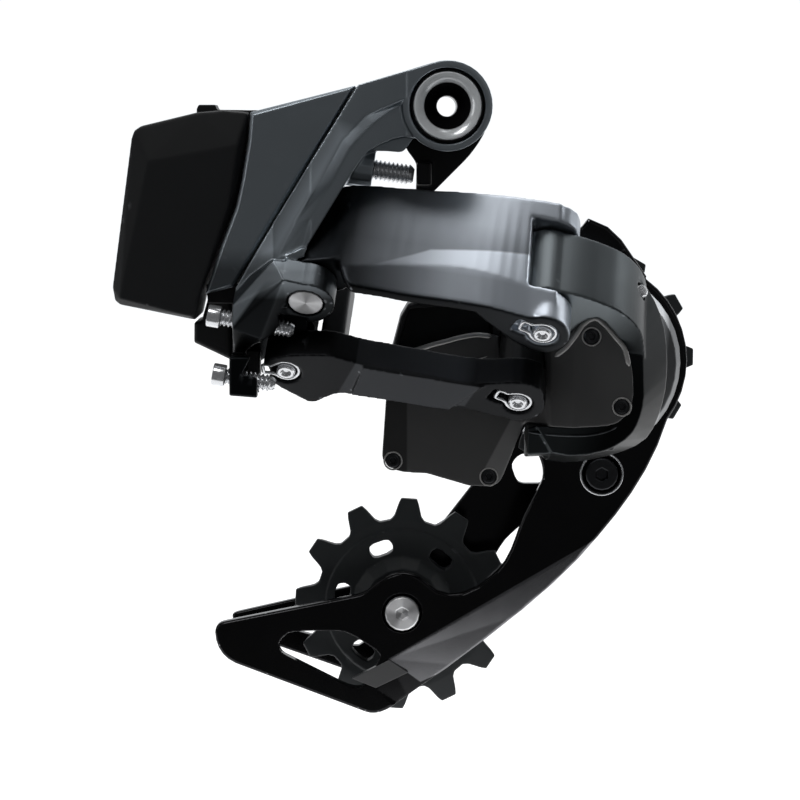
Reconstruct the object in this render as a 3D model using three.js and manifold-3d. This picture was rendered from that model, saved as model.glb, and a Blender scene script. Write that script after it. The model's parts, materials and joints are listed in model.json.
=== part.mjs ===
// Rear bicycle derailleur with an electric shift motor, a clip-on battery and a sprung pulley cage.
// Frame: millimetres, +X forward, +Y inboard (towards the wheel), +Z up.
// The origin is on the hanger-bolt axis, in the plane where the derailleur meets the frame's hanger.
import * as THREE from 'three';
import { mergeVertices } from 'three/addons/utils/BufferGeometryUtils.js';
import { ConvexGeometry } from 'three/addons/geometries/ConvexGeometry.js';
import Module from 'manifold-3d';

const wasm = await Module();
wasm.setup();

// ---------------------------------------------------------------- driving dimensions

const GAP = 0.3;                        // left between any two pieces that meet
const MIDDLE_SIDES = 16;
const SMALL_SIDES = 10;
const LARGE_SIDES = 36;

// hanger bolt and the knuckle's boss around it
const BOSS_RADIUS = 10;
const BOSS_FRONT = -14.5;
const STOP_PLATE_THICKNESS = 2.5;
const BOSS_BACK = -STOP_PLATE_THICKNESS - GAP;
const BOSS_RECESS_RADIUS = 8.4;
const BOSS_RECESS_FLOOR = -12;
const BOLT_RADIUS = 4.9;
const BOLT_HEAD_RADIUS = 6.9;
const BOLT_HEAD_FRONT = -15.3;
const BOLT_THREAD_END = 8;
const BOLT_KEY_RADIUS = 2.9;            // corner radius of the 5 mm hexagon
const BUSHING_OUTER = 6.4;

// parallelogram linkage: four parallel pins, tilted so that the cage moves inboard and down
const PIN_TILT = THREE.MathUtils.degToRad(44);
const PIN_YAW = THREE.MathUtils.degToRad(-8);
const LINK_ORIGIN = new THREE.Vector3(-31.2, -24, -43);   // outer end of the outer rear pin
const LINK_STEP = { x: 51.4, z: -9.7 };                   // rear pin to front pin
const LINK_OFFSET = { x: -5.9, z: -16.6 };                // outer link to inner link
const OUTER_REAR = { x: 0, z: 0 };
const OUTER_FRONT = { x: LINK_STEP.x, z: LINK_STEP.z };
const INNER_REAR = { x: LINK_OFFSET.x, z: LINK_OFFSET.z };
const INNER_FRONT = { x: LINK_STEP.x + LINK_OFFSET.x, z: LINK_STEP.z + LINK_OFFSET.z };
const PIN_RADIUS = 2.4;
const PIN_HEAD_RADIUS = 3.9;
const HUB_RADIUS = 6.1;
const REAR_LUG = 6.6;                   // length of the knuckle's outboard lug along the pin
const OUTER_LUG = 8.2;                  // length of the outer link's outboard lug
const OUTER_BARREL_END = 26.8;          // inboard end of the barrels between the lugs
const OUTER_PIN_END = 33;
const INNER_START = -6;                 // outboard face of the inner link along its pins
const INNER_ARM_BACK = 1.5;
const INNER_WEB_END = 21.5;

// cage and pulleys
const PULLEY_PIVOT = { x: 33.2, z: -59.4 };
const LOWER_PULLEY = { x: -10, z: -119.9 };
const TEETH = 12;
const PULLEY_MIDDLE = 22;               // middle plane of the chain
const TOOTH_THICKNESS = 2.6;
const HUB_HALF_WIDTH = 4.2;
const PULLEY_ROOT = 20.9;
const LOWER_TIP = 26.1;
const UPPER_TIP = 26.8;
const BEARING_OUTER = 7.4;
const BEARING_INNER = 3.0;
const OUTER_PLATE_FRONT = 11;
const OUTER_PLATE_BACK = 14;
const INNER_PLATE_FRONT = 29;
const INNER_PLATE_BACK = 31.4;
const CAGE_BOLT_RADIUS = 2.5;
const DAMPER_RADIUS = 22;
const GUARD_RADIUS = 24;                // round shoulder of the cage plate about the pivot

// battery and its dock
const BATTERY_FRONT = -19;
const BATTERY_BACK = 5;
const BATTERY_SHOULDER = -16.8;          // the case's full outline starts here

// gearbox of the shift motor
const GEARBOX_FRONT = -1;
const GEARBOX_BACK = 10;
const COVER_THICKNESS = 2;

const COLOURS = {
  anodised: { color: 0x343a40, roughness: 0.42, metalness: 0.75 },
  silverLink: { color: 0x4d545b, roughness: 0.4, metalness: 0.75 },
  plastic: { color: 0x101112, roughness: 0.45, metalness: 0 },
  dockPlastic: { color: 0x1c1f21, roughness: 0.5, metalness: 0 },
  gloss: { color: 0x060606, roughness: 0.12, metalness: 0.1 },
  pulley: { color: 0x1b1d1f, roughness: 0.5, metalness: 0 },
  steel: { color: 0xb4b6b8, roughness: 0.25, metalness: 1 },
  darkSteel: { color: 0x3b3d40, roughness: 0.35, metalness: 1 },
  copper: { color: 0xb87a45, roughness: 0.3, metalness: 1 },
  board: { color: 0x14431f, roughness: 0.5, metalness: 0 },
  bronze: { color: 0x8c6a3a, roughness: 0.4, metalness: 0.9 },
};

// ---------------------------------------------------------------- solids

// A closed geometry as a manifold solid, placed by a matrix.
function solid(geometry, matrix = new THREE.Matrix4()) {
  const bare = geometry.clone();
  bare.deleteAttribute('normal');
  bare.deleteAttribute('uv');
  const merged = mergeVertices(bare, 1e-4);
  merged.applyMatrix4(matrix);
  const corners = Array.from(merged.index.array);
  const triangles = [];
  for (let start = 0; start < corners.length; start += 3) {
    const [a, b, c] = corners.slice(start, start + 3);
    if (a !== b && b !== c && c !== a) {
      triangles.push(a, b, c);
    }
  }
  return new wasm.Manifold(new wasm.Mesh({
    numProp: 3,
    vertProperties: new Float32Array(merged.attributes.position.array),
    triVerts: new Uint32Array(triangles),
  }));
}

function mesh(name, body, look) {
  const data = body.getMesh();
  const geometry = new THREE.BufferGeometry();
  geometry.setAttribute('position', new THREE.BufferAttribute(data.vertProperties, 3));
  geometry.setIndex(new THREE.BufferAttribute(data.triVerts, 1));
  geometry.computeVertexNormals();
  const result = new THREE.Mesh(geometry, new THREE.MeshStandardMaterial(COLOURS[look]));
  result.name = name;
  return result;
}

const join = (first, ...rest) => rest.reduce((sum, next) => sum.add(next), first);
const cut = (first, ...rest) => rest.reduce((left, next) => left.subtract(next), first);

// The largest separate body, without the slivers that a grazing cut can leave.
const whole = (body) => body.decompose().sort((a, b) => b.volume() - a.volume())[0];

// Outline corners are [a, b] or [a, b, radius]; a radius rounds that corner with a short arc.
function roundedShape(corners) {
  const shape = new THREE.Shape();
  corners.forEach((corner, index) => {
    const here = new THREE.Vector2(corner[0], corner[1]);
    const before = corners[(index + corners.length - 1) % corners.length];
    const after = corners[(index + 1) % corners.length];
    const radius = corner[2] ?? 0;
    const toBefore = new THREE.Vector2(before[0], before[1]).sub(here);
    const toAfter = new THREE.Vector2(after[0], after[1]).sub(here);
    const reach = Math.min(radius, toBefore.length() * 0.48, toAfter.length() * 0.48);
    const start = here.clone().addScaledVector(toBefore.normalize(), reach);
    const end = here.clone().addScaledVector(toAfter.normalize(), reach);
    if (index === 0) {
      shape.moveTo(start.x, start.y);
    } else {
      shape.lineTo(start.x, start.y);
    }
    if (reach > 0) {
      shape.quadraticCurveTo(here.x, here.y, end.x, end.y);
    }
  });
  shape.closePath();
  return shape;
}

function extruded(shape, depth, options = {}) {
  return new THREE.ExtrudeGeometry(shape, {
    depth,
    bevelEnabled: false,
    curveSegments: 2,                   // enough for small corner arcs
    ...options,
  });
}

// Extrusion options for an edge broken by a small chamfer; the outline keeps its size.
function chamfered(depth, size) {
  return {
    depth: depth - 2 * size,
    bevelEnabled: true,
    bevelThickness: size,
    bevelSize: size,
    bevelOffset: -size,
    bevelSegments: 1,
  };
}

const TO_FRONT = new THREE.Matrix4().makeRotationX(Math.PI / 2);

// A plate seen from the side of the bicycle: corners are [x, z], thickness runs along Y.
function plate(corners, near, far, chamfer = 0, options = {}) {
  const shape = Array.isArray(corners) ? roundedShape(corners) : corners;
  const depth = far - near;
  const edge = chamfer > 0 ? chamfered(depth, chamfer) : {};
  const geometry = extruded(shape, depth, { ...edge, ...options });
  return solid(geometry, new THREE.Matrix4().makeTranslation(0, far - chamfer, 0).multiply(TO_FRONT));
}

// A plate seen from above: corners are [x, y], height runs along Z.
function slab(corners, low, high) {
  return solid(
    extruded(roundedShape(corners), high - low),
    new THREE.Matrix4().makeTranslation(0, 0, low),
  );
}

function box(low, high) {
  const size = high.map((value, axis) => value - low[axis]);
  const centre = high.map((value, axis) => (value + low[axis]) / 2);
  return solid(new THREE.BoxGeometry(...size), new THREE.Matrix4().makeTranslation(...centre));
}

// Place a shape whose own axis is +Y at a point, with that axis along a direction.
function aimed(point, direction) {
  const turn = new THREE.Quaternion().setFromUnitVectors(
    new THREE.Vector3(0, 1, 0),
    direction.clone().normalize(),
  );
  return new THREE.Matrix4().compose(point, turn, new THREE.Vector3(1, 1, 1));
}

function rod(from, to, radius, sides = MIDDLE_SIDES) {
  const along = to.clone().sub(from);
  const middle = from.clone().add(to).multiplyScalar(0.5);
  return solid(new THREE.CylinderGeometry(radius, radius, along.length(), sides), aimed(middle, along));
}

// A turned piece: profile points are [radius, distance along the axis], listed anticlockwise.
function turned(profile, point, direction, sides = MIDDLE_SIDES) {
  const points = profile.map(([radius, height]) => new THREE.Vector2(radius, height));
  if (profile[0][0] > 0) {
    points.push(points[0].clone());
  }
  return solid(new THREE.LatheGeometry(points, sides), aimed(point, direction));
}

const vec = (x, y, z) => new THREE.Vector3(x, y, z);
const ALONG_Y = vec(0, 1, 0);
const rodY = (x, z, near, far, radius, sides) => rod(vec(x, near, z), vec(x, far, z), radius, sides);
const ringY = (at, near, far, inner, outer, sides) => turned(
  [[inner, near], [outer, near], [outer, far], [inner, far]],
  vec(at.x, 0, at.z),
  ALONG_Y,
  sides,
);
const hull = (...points) => solid(new ConvexGeometry(points.map((point) => vec(...point))));

// ---------------------------------------------------------------- the pins' own frame

// In this frame y runs along the pins from their outboard ends, x along the links, z across them.
const PIN_FRAME = new THREE.Matrix4()
  .makeRotationFromEuler(new THREE.Euler(PIN_TILT, 0, PIN_YAW, 'ZYX'))
  .setPosition(LINK_ORIGIN);
const PIN_DIRECTION = vec(0, 1, 0).transformDirection(PIN_FRAME);
const atPin = (pin, along) => vec(pin.x, along, pin.z).applyMatrix4(PIN_FRAME);
const inPins = (x, y, z) => vec(x, y, z).applyMatrix4(PIN_FRAME).toArray();
const pinRod = (pin, from, to, radius, sides) => rod(atPin(pin, from), atPin(pin, to), radius, sides);

// A plate whose corners are [x, z] in the pins' frame and whose thickness runs along the pins.
function pinPlate(corners, from, to, chamfer = 0, options = {}) {
  return plate(corners, from, to, chamfer, options).transform(PIN_FRAME.elements);
}

function pinSlab(corners, low, high) {
  return slab(corners, low, high).transform(PIN_FRAME.elements);
}

// ---------------------------------------------------------------- fasteners

// A screw from its head towards its tip, with a hexagonal key socket.
function screw({ at, direction, headRadius, headLength, radius, length, key, sides = SMALL_SIDES }) {
  const profile = [[0, 0], [headRadius - 0.3, 0], [headRadius, 0.3], [headRadius, headLength],
    [radius, headLength], [radius, length], [0, length]];
  const axis = direction.clone().normalize();
  return cut(
    turned(profile, at, direction, sides),
    rod(at.clone().addScaledVector(axis, -1), at.clone().addScaledVector(axis, key.depth), key.radius, 6),
  );
}

const CLIP_WIRE = 0.6;

// A wire clip that holds a pin's head: a flat ring with a square ear, turned about the pin.
function pinClip(pin, start, turn) {
  const bore = pinRod(pin, start - 1, start + 2, 2.3, SMALL_SIDES);
  const end = start + CLIP_WIRE;
  const ear = earPlate(pin, turn, 2.6, 6.2, 1.3, start, end);
  const eye = earPlate(pin, turn, 2.6 + CLIP_WIRE, 6.2 - CLIP_WIRE, 1.3 - CLIP_WIRE, start - 1, end + 1);
  return join(
    cut(pinRod(pin, start, end, 3.2, MIDDLE_SIDES), bore),
    cut(ear, eye, bore),
  );
}

// A rectangle beside a pin, between two distances from it.
function earPlate(pin, turn, inner, outer, halfWidth, from, to) {
  const angle = THREE.MathUtils.degToRad(turn);
  const corner = (along, across) => [
    pin.x + Math.cos(angle) * along - Math.sin(angle) * across,
    pin.z + Math.sin(angle) * along + Math.cos(angle) * across,
  ];
  return pinPlate([corner(inner, -halfWidth), corner(outer, -halfWidth), corner(outer, halfWidth),
    corner(inner, halfWidth)], from, to);
}

// ---------------------------------------------------------------- hanger mount

function hangerBolt() {
  const profile = [[0, BOLT_HEAD_FRONT], [BOLT_HEAD_RADIUS - 0.7, BOLT_HEAD_FRONT],
    [BOLT_HEAD_RADIUS, BOLT_HEAD_FRONT + 0.7], [BOLT_HEAD_RADIUS, -13.1], [BOLT_RADIUS, -13.1],
    [BOLT_RADIUS, BOLT_THREAD_END - 0.8], [BOLT_RADIUS - 0.8, BOLT_THREAD_END], [0, BOLT_THREAD_END]];
  const mouth = [[0, BOLT_HEAD_FRONT - 1], [5.4, BOLT_HEAD_FRONT - 1], [5.1, BOLT_HEAD_FRONT + 0.4],
    [BOLT_KEY_RADIUS, BOLT_HEAD_FRONT + 3.4], [0, BOLT_HEAD_FRONT + 3.4]];
  return cut(
    turned(profile, vec(0, 0, 0), ALONG_Y, LARGE_SIDES),
    turned(mouth, vec(0, 0, 0), ALONG_Y, LARGE_SIDES),
    rodY(0, 0, BOLT_HEAD_FRONT, BOLT_THREAD_END + 1, BOLT_KEY_RADIUS, 6),
  );
}

function stopPlate() {
  const outline = [[6.5, 8, 5], [10.4, 0, 5], [8.6, -6.4, 2], [5.4, -11, 2], [-3.4, -19.8, 0.8],
    [-6.9, -19.4, 0.5], [-6.7, -12.8, 1], [-9.9, -8.5, 2], [-9.9, 0, 5], [-6.5, 8, 5]];
  const tab = box([-6.8, -8, -17.6], [-3.4, -1, -12.6]);
  const bore = rodY(0, 0, -9, 3, BOLT_RADIUS + GAP, MIDDLE_SIDES);
  return cut(join(plate(outline, -STOP_PLATE_THICKNESS, 0), tab), bore);
}

function hangerMount() {
  const origin = { x: 0, z: 0 };
  return [
    mesh('hanger_bolt', hangerBolt(), 'darkSteel'),
    mesh('hanger_washer', ringY(origin, -12.8, -12.3, BOLT_RADIUS + GAP, 8, LARGE_SIDES), 'steel'),
    mesh('hanger_stop_plate', stopPlate(), 'gloss'),
  ];
}

// ---------------------------------------------------------------- B-knuckle

function bushing() {
  return ringY({ x: 0, z: 0 }, -11.8, -3, BOLT_RADIUS + GAP, BUSHING_OUTER, LARGE_SIDES);
}

const SEAM_TOP = [-19.7, 4.5];            // seam between the arm and the battery dock
const SEAM_MIDDLE = [-41.4, -30.7];
const SEAM_LOW = [-46.8, -39.8];
const B_SCREW_TIP = vec(-7.4, -5, -15.5);
const B_SCREW_DIRECTION = vec(0.989, 0, -0.15);
const UPPER_LIMIT = vec(-53.2, -18, -46);
const LOWER_LIMIT = vec(-52.3, -17, -59.2);
const LIMIT_DIRECTION = vec(0.985, 0, -0.17);
const UPPER_LIMIT_LENGTH = 19.5;
const LOWER_LIMIT_LENGTH = 14.2;
const LIMIT_RADIUS = 1.75;

// Room that the outer link sweeps beside the knuckle.
function linkSweep() {
  const reach = HUB_RADIUS + 0.6;
  return join(
    pinRod(OUTER_REAR, REAR_LUG + 0.1, OUTER_PIN_END - 3.7, reach, MIDDLE_SIDES),
    pinPlate([[0, reach], [12, 14], [40, 40], [40, -60], [2, -30], [-3, -5.5]],
      REAR_LUG + 0.1, OUTER_PIN_END - 3.7),
  );
}

// Room that the inner link's inboard lug and web sweep.
function innerSweep() {
  const reach = 7.8;
  return join(
    pinRod(INNER_REAR, 16.5, INNER_WEB_END + 2, reach, MIDDLE_SIDES),
    pinPlate([[-1, -6.8], [12, -7], [12, -40], [-12, -40], [-8, -23], [-5.9, -21.6], [0.2, -18]],
      INNER_ARM_BACK, INNER_WEB_END + 2),
  );
}

function armBody() {
  const front = [SEAM_TOP, [-3.2, 9.5], [6, 4], [-1, -9], [-9.4, -6.2, 3], [-17.4, -9.4, 4],
    [-20.4, -13.4, 3], [-31.9, -32.4, 3], [-30, -37], [-34, -44], [-46.9, -44], SEAM_LOW, SEAM_MIDDLE];
  const frontPlan = [[12, BOSS_FRONT], [-9, BOSS_FRONT], [-30, -23], [-38, -23.6], [-52, -17]];
  const plan = [...frontPlan, [-52, 2], [-24, 2, 3], [-13, BOSS_BACK, 3], [12, BOSS_BACK]];
  const arch = plate([[-6, -5], [-9.8, -10.3, 1], [-13.4, -10], [-17.8, -9.9, 2], [-20.6, -12.8, 2],
    [-26, -22], [-30, -14], [-18, -4]], -9, BOSS_BACK);
  return cut(join(plate(front, -30, 10).intersect(slab(plan, -60, 20)), arch), armStep(frontPlan));
}

// A shallow step along the arm: the inner flange lies below the outer face, across a sloping band.
// Each station has a point on the outer face's edge and one on the flange's edge.
const STEP_STATIONS = [[-3, 4.4, -4.6, 2.2], [-8.5, 2, -10.9, 0.1], [-18.5, -2.3, -16.2, -3.7],
  [-23.3, -7.4, -21.3, -8.9], [-28.1, -16.5, -26.1, -17.5], [-33.8, -26, -29.9, -24.1],
  [-37.6, -33.4, -31.9, -30.8]];
const STEP_DEPTH = 1.3;

function armStep(front) {
  const surface = (x) => {
    const index = front.findIndex(([at]) => at < x);
    const [farX, farY] = front[index];
    const [nearX, nearY] = front[index - 1];
    return nearY + ((farY - nearY) * (nearX - x)) / (nearX - farX);
  };
  const section = ([ax, az, bx, bz]) => [[ax, -40, az], [ax, surface(ax) - 0.1, az],
    [bx, -40, bz], [bx, surface(bx) + STEP_DEPTH, bz]];
  const slope = STEP_STATIONS.slice(1).map((next, index) => hull(
    ...section(STEP_STATIONS[index]), ...section(next),
  ));
  const flange = plate([...STEP_STATIONS.map(([, , x, z]) => [x, z]), [-28, -32], [0, -12]], -40, 10);
  const below = slab([...front.map(([x, y]) => [x, y + STEP_DEPTH]), [-52, 20], [12, 20]], -60, 20);
  return join(...slope, cut(flange, below));
}

function lowerBody() {
  return hull(
    [-46.8, -18.5, -39.8], [-38.2, -25.5, -33.4], inPins(-3.9, 0, 7.6), inPins(-14.1, 0, -8.1),
    [-47.8, -14.5, -48.8], [-47.9, -11.5, -57], [-42.6, -10, -58.6], inPins(-2, 2, -12),
    inPins(0, REAR_LUG, -7), inPins(0, REAR_LUG, 6), [-47.2, 2.5, -40], [-47.9, 2.5, -56], [-40, 2.5, -36],
    [-41, 2.5, -55],
    [-47.4, -21.2, -43.6], [-47.5, -21, -48.8], [-41.3, -21.2, -51], [-40.6, -21.5, -47.5],
  );
}

function bKnuckle() {
  const origin = { x: 0, z: 0 };
  const boss = rodY(origin.x, origin.z, BOSS_FRONT, BOSS_BACK, BOSS_RADIUS, LARGE_SIDES);
  const lug = join(
    pinRod(OUTER_REAR, 0, REAR_LUG, HUB_RADIUS + 0.2, LARGE_SIDES),
    pinPlate([[-3.9, 7.6], [0, HUB_RADIUS + 0.2], [0, -HUB_RADIUS - 0.2], [-14.1, -8.1]], 0, REAR_LUG),
  );
  const upperLug = pinRod(OUTER_REAR, OUTER_PIN_END - 3.6, OUTER_PIN_END, HUB_RADIUS, MIDDLE_SIDES);
  const innerBarrel = join(
    pinRod(INNER_REAR, INNER_ARM_BACK + GAP, 16.4, 5.6, MIDDLE_SIDES),
    pinPlate([[-14, -10], [-5, -11], [-5.5, -21], [-12, -20]], INNER_ARM_BACK + GAP, 16.4),
  );
  const screwBoss = rod(
    B_SCREW_TIP.clone().addScaledVector(B_SCREW_DIRECTION, -17.5),
    B_SCREW_TIP.clone().addScaledVector(B_SCREW_DIRECTION, -9.2),
    4.5,
    MIDDLE_SIDES,
  );
  const limitBlock = plate([[-48.3, -55], [-42.2, -55], [-42.2, -64.3], [-48.4, -63.8]], -20.5, -10, 0.5);
  const casting = join(boss, armBody(), lug, upperLug, lowerBody(), innerBarrel, screwBoss, limitBlock);
  return cut(
    casting,
    linkSweep(),
    innerSweep(),
    rodY(origin.x, origin.z, BOSS_FRONT - 1, BOSS_RECESS_FLOOR, BOSS_RECESS_RADIUS, LARGE_SIDES),
    rodY(origin.x, origin.z, -20, 1, BUSHING_OUTER + GAP, LARGE_SIDES),
    pinRod(OUTER_REAR, -1, OUTER_PIN_END + 1, PIN_RADIUS + GAP, SMALL_SIDES),
    pinRod(OUTER_REAR, -1, 1.6, PIN_HEAD_RADIUS + GAP, MIDDLE_SIDES),
    pinRod(INNER_REAR, -8, 26, PIN_RADIUS + GAP, SMALL_SIDES),
    pinRod(INNER_REAR, INNER_START - 4, INNER_ARM_BACK + GAP / 2, 9.6, MIDDLE_SIDES),
    rod(B_SCREW_TIP.clone().addScaledVector(B_SCREW_DIRECTION, -20),
      B_SCREW_TIP.clone().addScaledVector(B_SCREW_DIRECTION, 2), 2.1, SMALL_SIDES),
    limitBore(UPPER_LIMIT),
    limitBore(LOWER_LIMIT),
    pocketAtScrewTip(),
  );
}

function limitBore(start) {
  return rod(start, start.clone().addScaledVector(LIMIT_DIRECTION, 24), LIMIT_RADIUS + GAP, SMALL_SIDES);
}

// Open pocket below the outer lug, where the tip of the upper limit screw shows.
function pocketAtScrewTip() {
  return plate([[-37.2, -45.4], [-31, -46.4], [-30, -53.5], [-36.8, -53]], -30, -14);
}

function limitScrew(start) {
  return screw({
    at: start, direction: LIMIT_DIRECTION, headRadius: 2.5, headLength: 3, radius: LIMIT_RADIUS,
    length: start === UPPER_LIMIT ? UPPER_LIMIT_LENGTH : LOWER_LIMIT_LENGTH,
    key: { radius: 1.3, depth: 1.6 },
  });
}

function bScrew() {
  const start = B_SCREW_TIP.clone().addScaledVector(B_SCREW_DIRECTION, -18);
  return screw({
    at: start, direction: B_SCREW_DIRECTION, headRadius: 1.75, headLength: 0.6, radius: 1.8,
    length: 18, key: { radius: 1.1, depth: 2 },
  });
}

function headedPin(pin, from, to) {
  return turned(
    [[0, from], [PIN_HEAD_RADIUS - 0.2, from], [PIN_HEAD_RADIUS, from + 0.2], [PIN_HEAD_RADIUS, from + 1.2],
      [PIN_RADIUS, from + 1.2], [PIN_RADIUS, to], [0, to]],
    atPin(pin, 0), PIN_DIRECTION, MIDDLE_SIDES,
  );
}

// A pin with a dished end, held by a wire clip that lies in the hub's counterbore.
function clippedPin(pin, from, to) {
  return turned(
    [[0, from + 1.6], [1.1, from + 1.4], [1.9, from], [2.1, from + 0.1], [2.1, from + 2.1],
      [PIN_RADIUS, from + 2.1], [PIN_RADIUS, to], [0, to]],
    atPin(pin, 0), PIN_DIRECTION, SMALL_SIDES + 4,
  );
}

const CLIP_DEPTH = 0.7;
const FRONT_EAR = 150;                  // turn of the clips' ears about their pins, degrees
const REAR_EAR = 176;
const counterbore = (pin, from, turn) => join(
  pinRod(pin, from - 3, from + 2.1, 3.6, MIDDLE_SIDES),
  earPlate(pin, turn, 2, 6.8, 2, from - 3, from + 2.1),
);

// ---------------------------------------------------------------- battery and dock

const BATTERY_SEAM = [[-43.7, -1.4], [-44.2, -7.5], [-45.7, -16], [-47.1, -22.2], [-50.4, -30.6],
  [-54.5, -41.2], [-55.9, -47.3]];
const seamAt = (shift) => BATTERY_SEAM.map(([x, z]) => [x + shift, z]);

function batteryCase() {
  const outline = [...seamAt(-0.15), [-72.8, -43.9], [-73.9, -43], [-74.4, -40], [-69.7, -7],
    [-69.1, -5.4], [-67.6, -4.4], [-55.1, -1.4], [-49.2, -0.9]];
  const shell = plate(outline, BATTERY_SHOULDER, BATTERY_BACK, 1.2);
  // the outboard face is a flat panel with wide sloping borders at the rear and the top
  const panel = [[-46.2, -8.6], [-48.4, -22], [-56.8, -46.2], [-72.4, -42.2], [-65.8, -12.2]];
  const border = outline.map(([x, z]) => [x * 0.992 - 0.48, BATTERY_SHOULDER, z * 0.992 - 0.19]);
  const front = hull(
    ...border,
    ...border.map(([x, , z]) => [x, BATTERY_SHOULDER + 2, z]),
    ...panel.map(([x, z]) => [x, BATTERY_FRONT, z]),
  ).intersect(plate(outline, -30, BATTERY_BACK));
  const cavity = plate([[-46.8, -5], [-48.4, -20], [-57, -44.6], [-72, -41.4], [-67, -8.2]],
    BATTERY_SHOULDER + 0.5, BATTERY_BACK - 1.8);
  const mouth = box([-50, -12, -20], [-40, -2, -10]);
  const groove = box([-56.2, LATCH_NEAR - GAP, -3.5], [-43, LATCH_FAR + GAP, 2]);
  return cut(join(shell, front), cavity, mouth, groove);
}

function batteryCell(index) {
  const near = BATTERY_SHOULDER + 0.8 + index * 9.2;
  return plate([[-53.6, -9, 1], [-54.6, -22], [-61.5, -41, 1], [-71, -39.6, 1], [-66.5, -10, 1]],
    near, near + 8.9);
}

function batteryDock() {
  const body = plate([[-43.3, -1.4], [-19.9 - GAP, 4.4], [SEAM_MIDDLE[0] - 0.4, SEAM_MIDDLE[1]],
    [SEAM_LOW[0] - 0.4, SEAM_LOW[1]], [-53.7, -41.4], ...seamAt(0.35).slice(1, 5).reverse()],
  BATTERY_FRONT, BATTERY_BACK - 1, 0.8);
  const cavity = plate([[-42.2, -8], [-29.5, -6.5], [-43.5, -30], [-48.5, -31]],
    BATTERY_FRONT + 2.5, BATTERY_BACK - 3.5);
  const mouth = box([-52, -11.6, -16.6], [-38, -2.4, -13.4]);
  const latchSlot = box([-44, LATCH_NEAR - GAP, -5.2], [-38.2, LATCH_FAR + GAP, 2]);
  const latchBore = rodY(LATCH_PIVOT.x, LATCH_PIVOT.z, -13, -1, 0.8, 10);
  return cut(body, cavity, mouth, latchSlot, latchBore);
}

function dockFoot() {
  return plate([[-53.6, -42.2], [-55.3, -47.9], [-57, -48.4], [-57.1, -53], [-48.5, -57.1], [-48.4, -42]],
    -9.5, BATTERY_BACK - 1, 0.6);
}

function contactBlock() {
  const pads = [-9.5, -7, -4.5].map((y) => box([-44.6, y - 0.6, -15.6], [-43.6, y + 0.6, -14.4]));
  return join(box([-43.8, -11, -16], [-39, -3, -14]), ...pads);
}

// The latch lies in a groove along the top; its raised end is the finger tab.
const LATCH_PIVOT = { x: -40.6, z: -3 };
const LATCH_NEAR = -10.6;
const LATCH_FAR = -3.4;

function batteryLatch() {
  const lever = plate([[-55.8, -3], [-55.8, -0.6], [-55.3, 0.3], [-51.6, 0.3], [-51.2, -0.8], [-44, -0.9],
    [-38.9, -0.9], [-38.6, -4.4], [-42.6, -4.6], [-43.6, -3.1]], LATCH_NEAR, LATCH_FAR);
  return cut(lever, rodY(LATCH_PIVOT.x, LATCH_PIVOT.z, -12, 0, 0.8, 10));
}

// ---------------------------------------------------------------- links

// Upper face of the outer link in the pins' frame, from rear to front: x, z at the outboard edge, z at
// the inboard edge, and the width of the sloping facet along the outboard edge.
const LINK_STATIONS = [[2, 5.7, 5.7, 3.6], [8, 7.4, 7.4, 4.4], [14, 6.4, 6.6, 5.6], [23, 4.1, 5, 7.6],
  [33, 2.2, 3.4, 9], [41, 0.2, 2, 8.4], [48, -2.6, 0.4, 7.6], [54.6, -4.4, -1.6, 6.8]];
// The same stations with others between them, on smooth curves through all of them.
function smoothStations(stations, between = 3) {
  const levels = new THREE.CatmullRomCurve3(stations.map(([x, low, high]) => vec(x, low, high)));
  const widths = new THREE.SplineCurve(stations.map(([x, , , width]) => new THREE.Vector2(x, width)));
  const steps = (stations.length - 1) * between;
  return Array.from({ length: steps + 1 }, (_, index) => {
    const level = levels.getPoint(index / steps);
    return [level.x, level.y, level.z, widths.getPoint(index / steps).y];
  });
}

const LINK_SKIN = 3.6;
const LINK_NEAR = REAR_LUG + GAP + 0.1;    // ends of the outer link's rear barrel
const LINK_FAR = OUTER_PIN_END - 3.9;
const FACET_DROP = 1.1;

// Solid between each pair of neighbouring stations, where corners lists one station's points.
// Each piece laps over its neighbours, so that no fin is left between them.
function lofted(stations, corners, lap) {
  const placed = (station, shift) => corners(station).map(([x, y, z]) => inPins(x + shift, y, z));
  const pieces = stations.slice(1).map((next, index) => hull(
    ...placed(stations[index], -lap), ...placed(next, lap),
  ));
  return join(...pieces);
}

function linkSkin() {
  const plan = [[-1, 7.2], [7, 7.2, 1], [9, 1.5, 1], [10.4, 0], [58, 0],
    [58, 32.6], [30, 31, 10], [7, 29.2], [-1, 29.2]];
  const stations = smoothStations(LINK_STATIONS);
  const skin = lofted(stations, ([x, low, high]) => [
    [x, 0, low], [x, 0, low - LINK_SKIN], [x, OUTER_PIN_END, high], [x, OUTER_PIN_END, high - LINK_SKIN],
  ], 0);
  const facet = lofted(stations, ([x, low, high, width]) => {
    const ridge = low + ((high - low) * width) / OUTER_PIN_END;
    return [[x, -1, low - FACET_DROP], [x, -1, low + 4], [x, width, ridge], [x, width + 3, ridge + 4]];
  }, 0.05);
  return cut(skin.intersect(pinSlab(plan, -40, 40)), facet);
}

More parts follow.
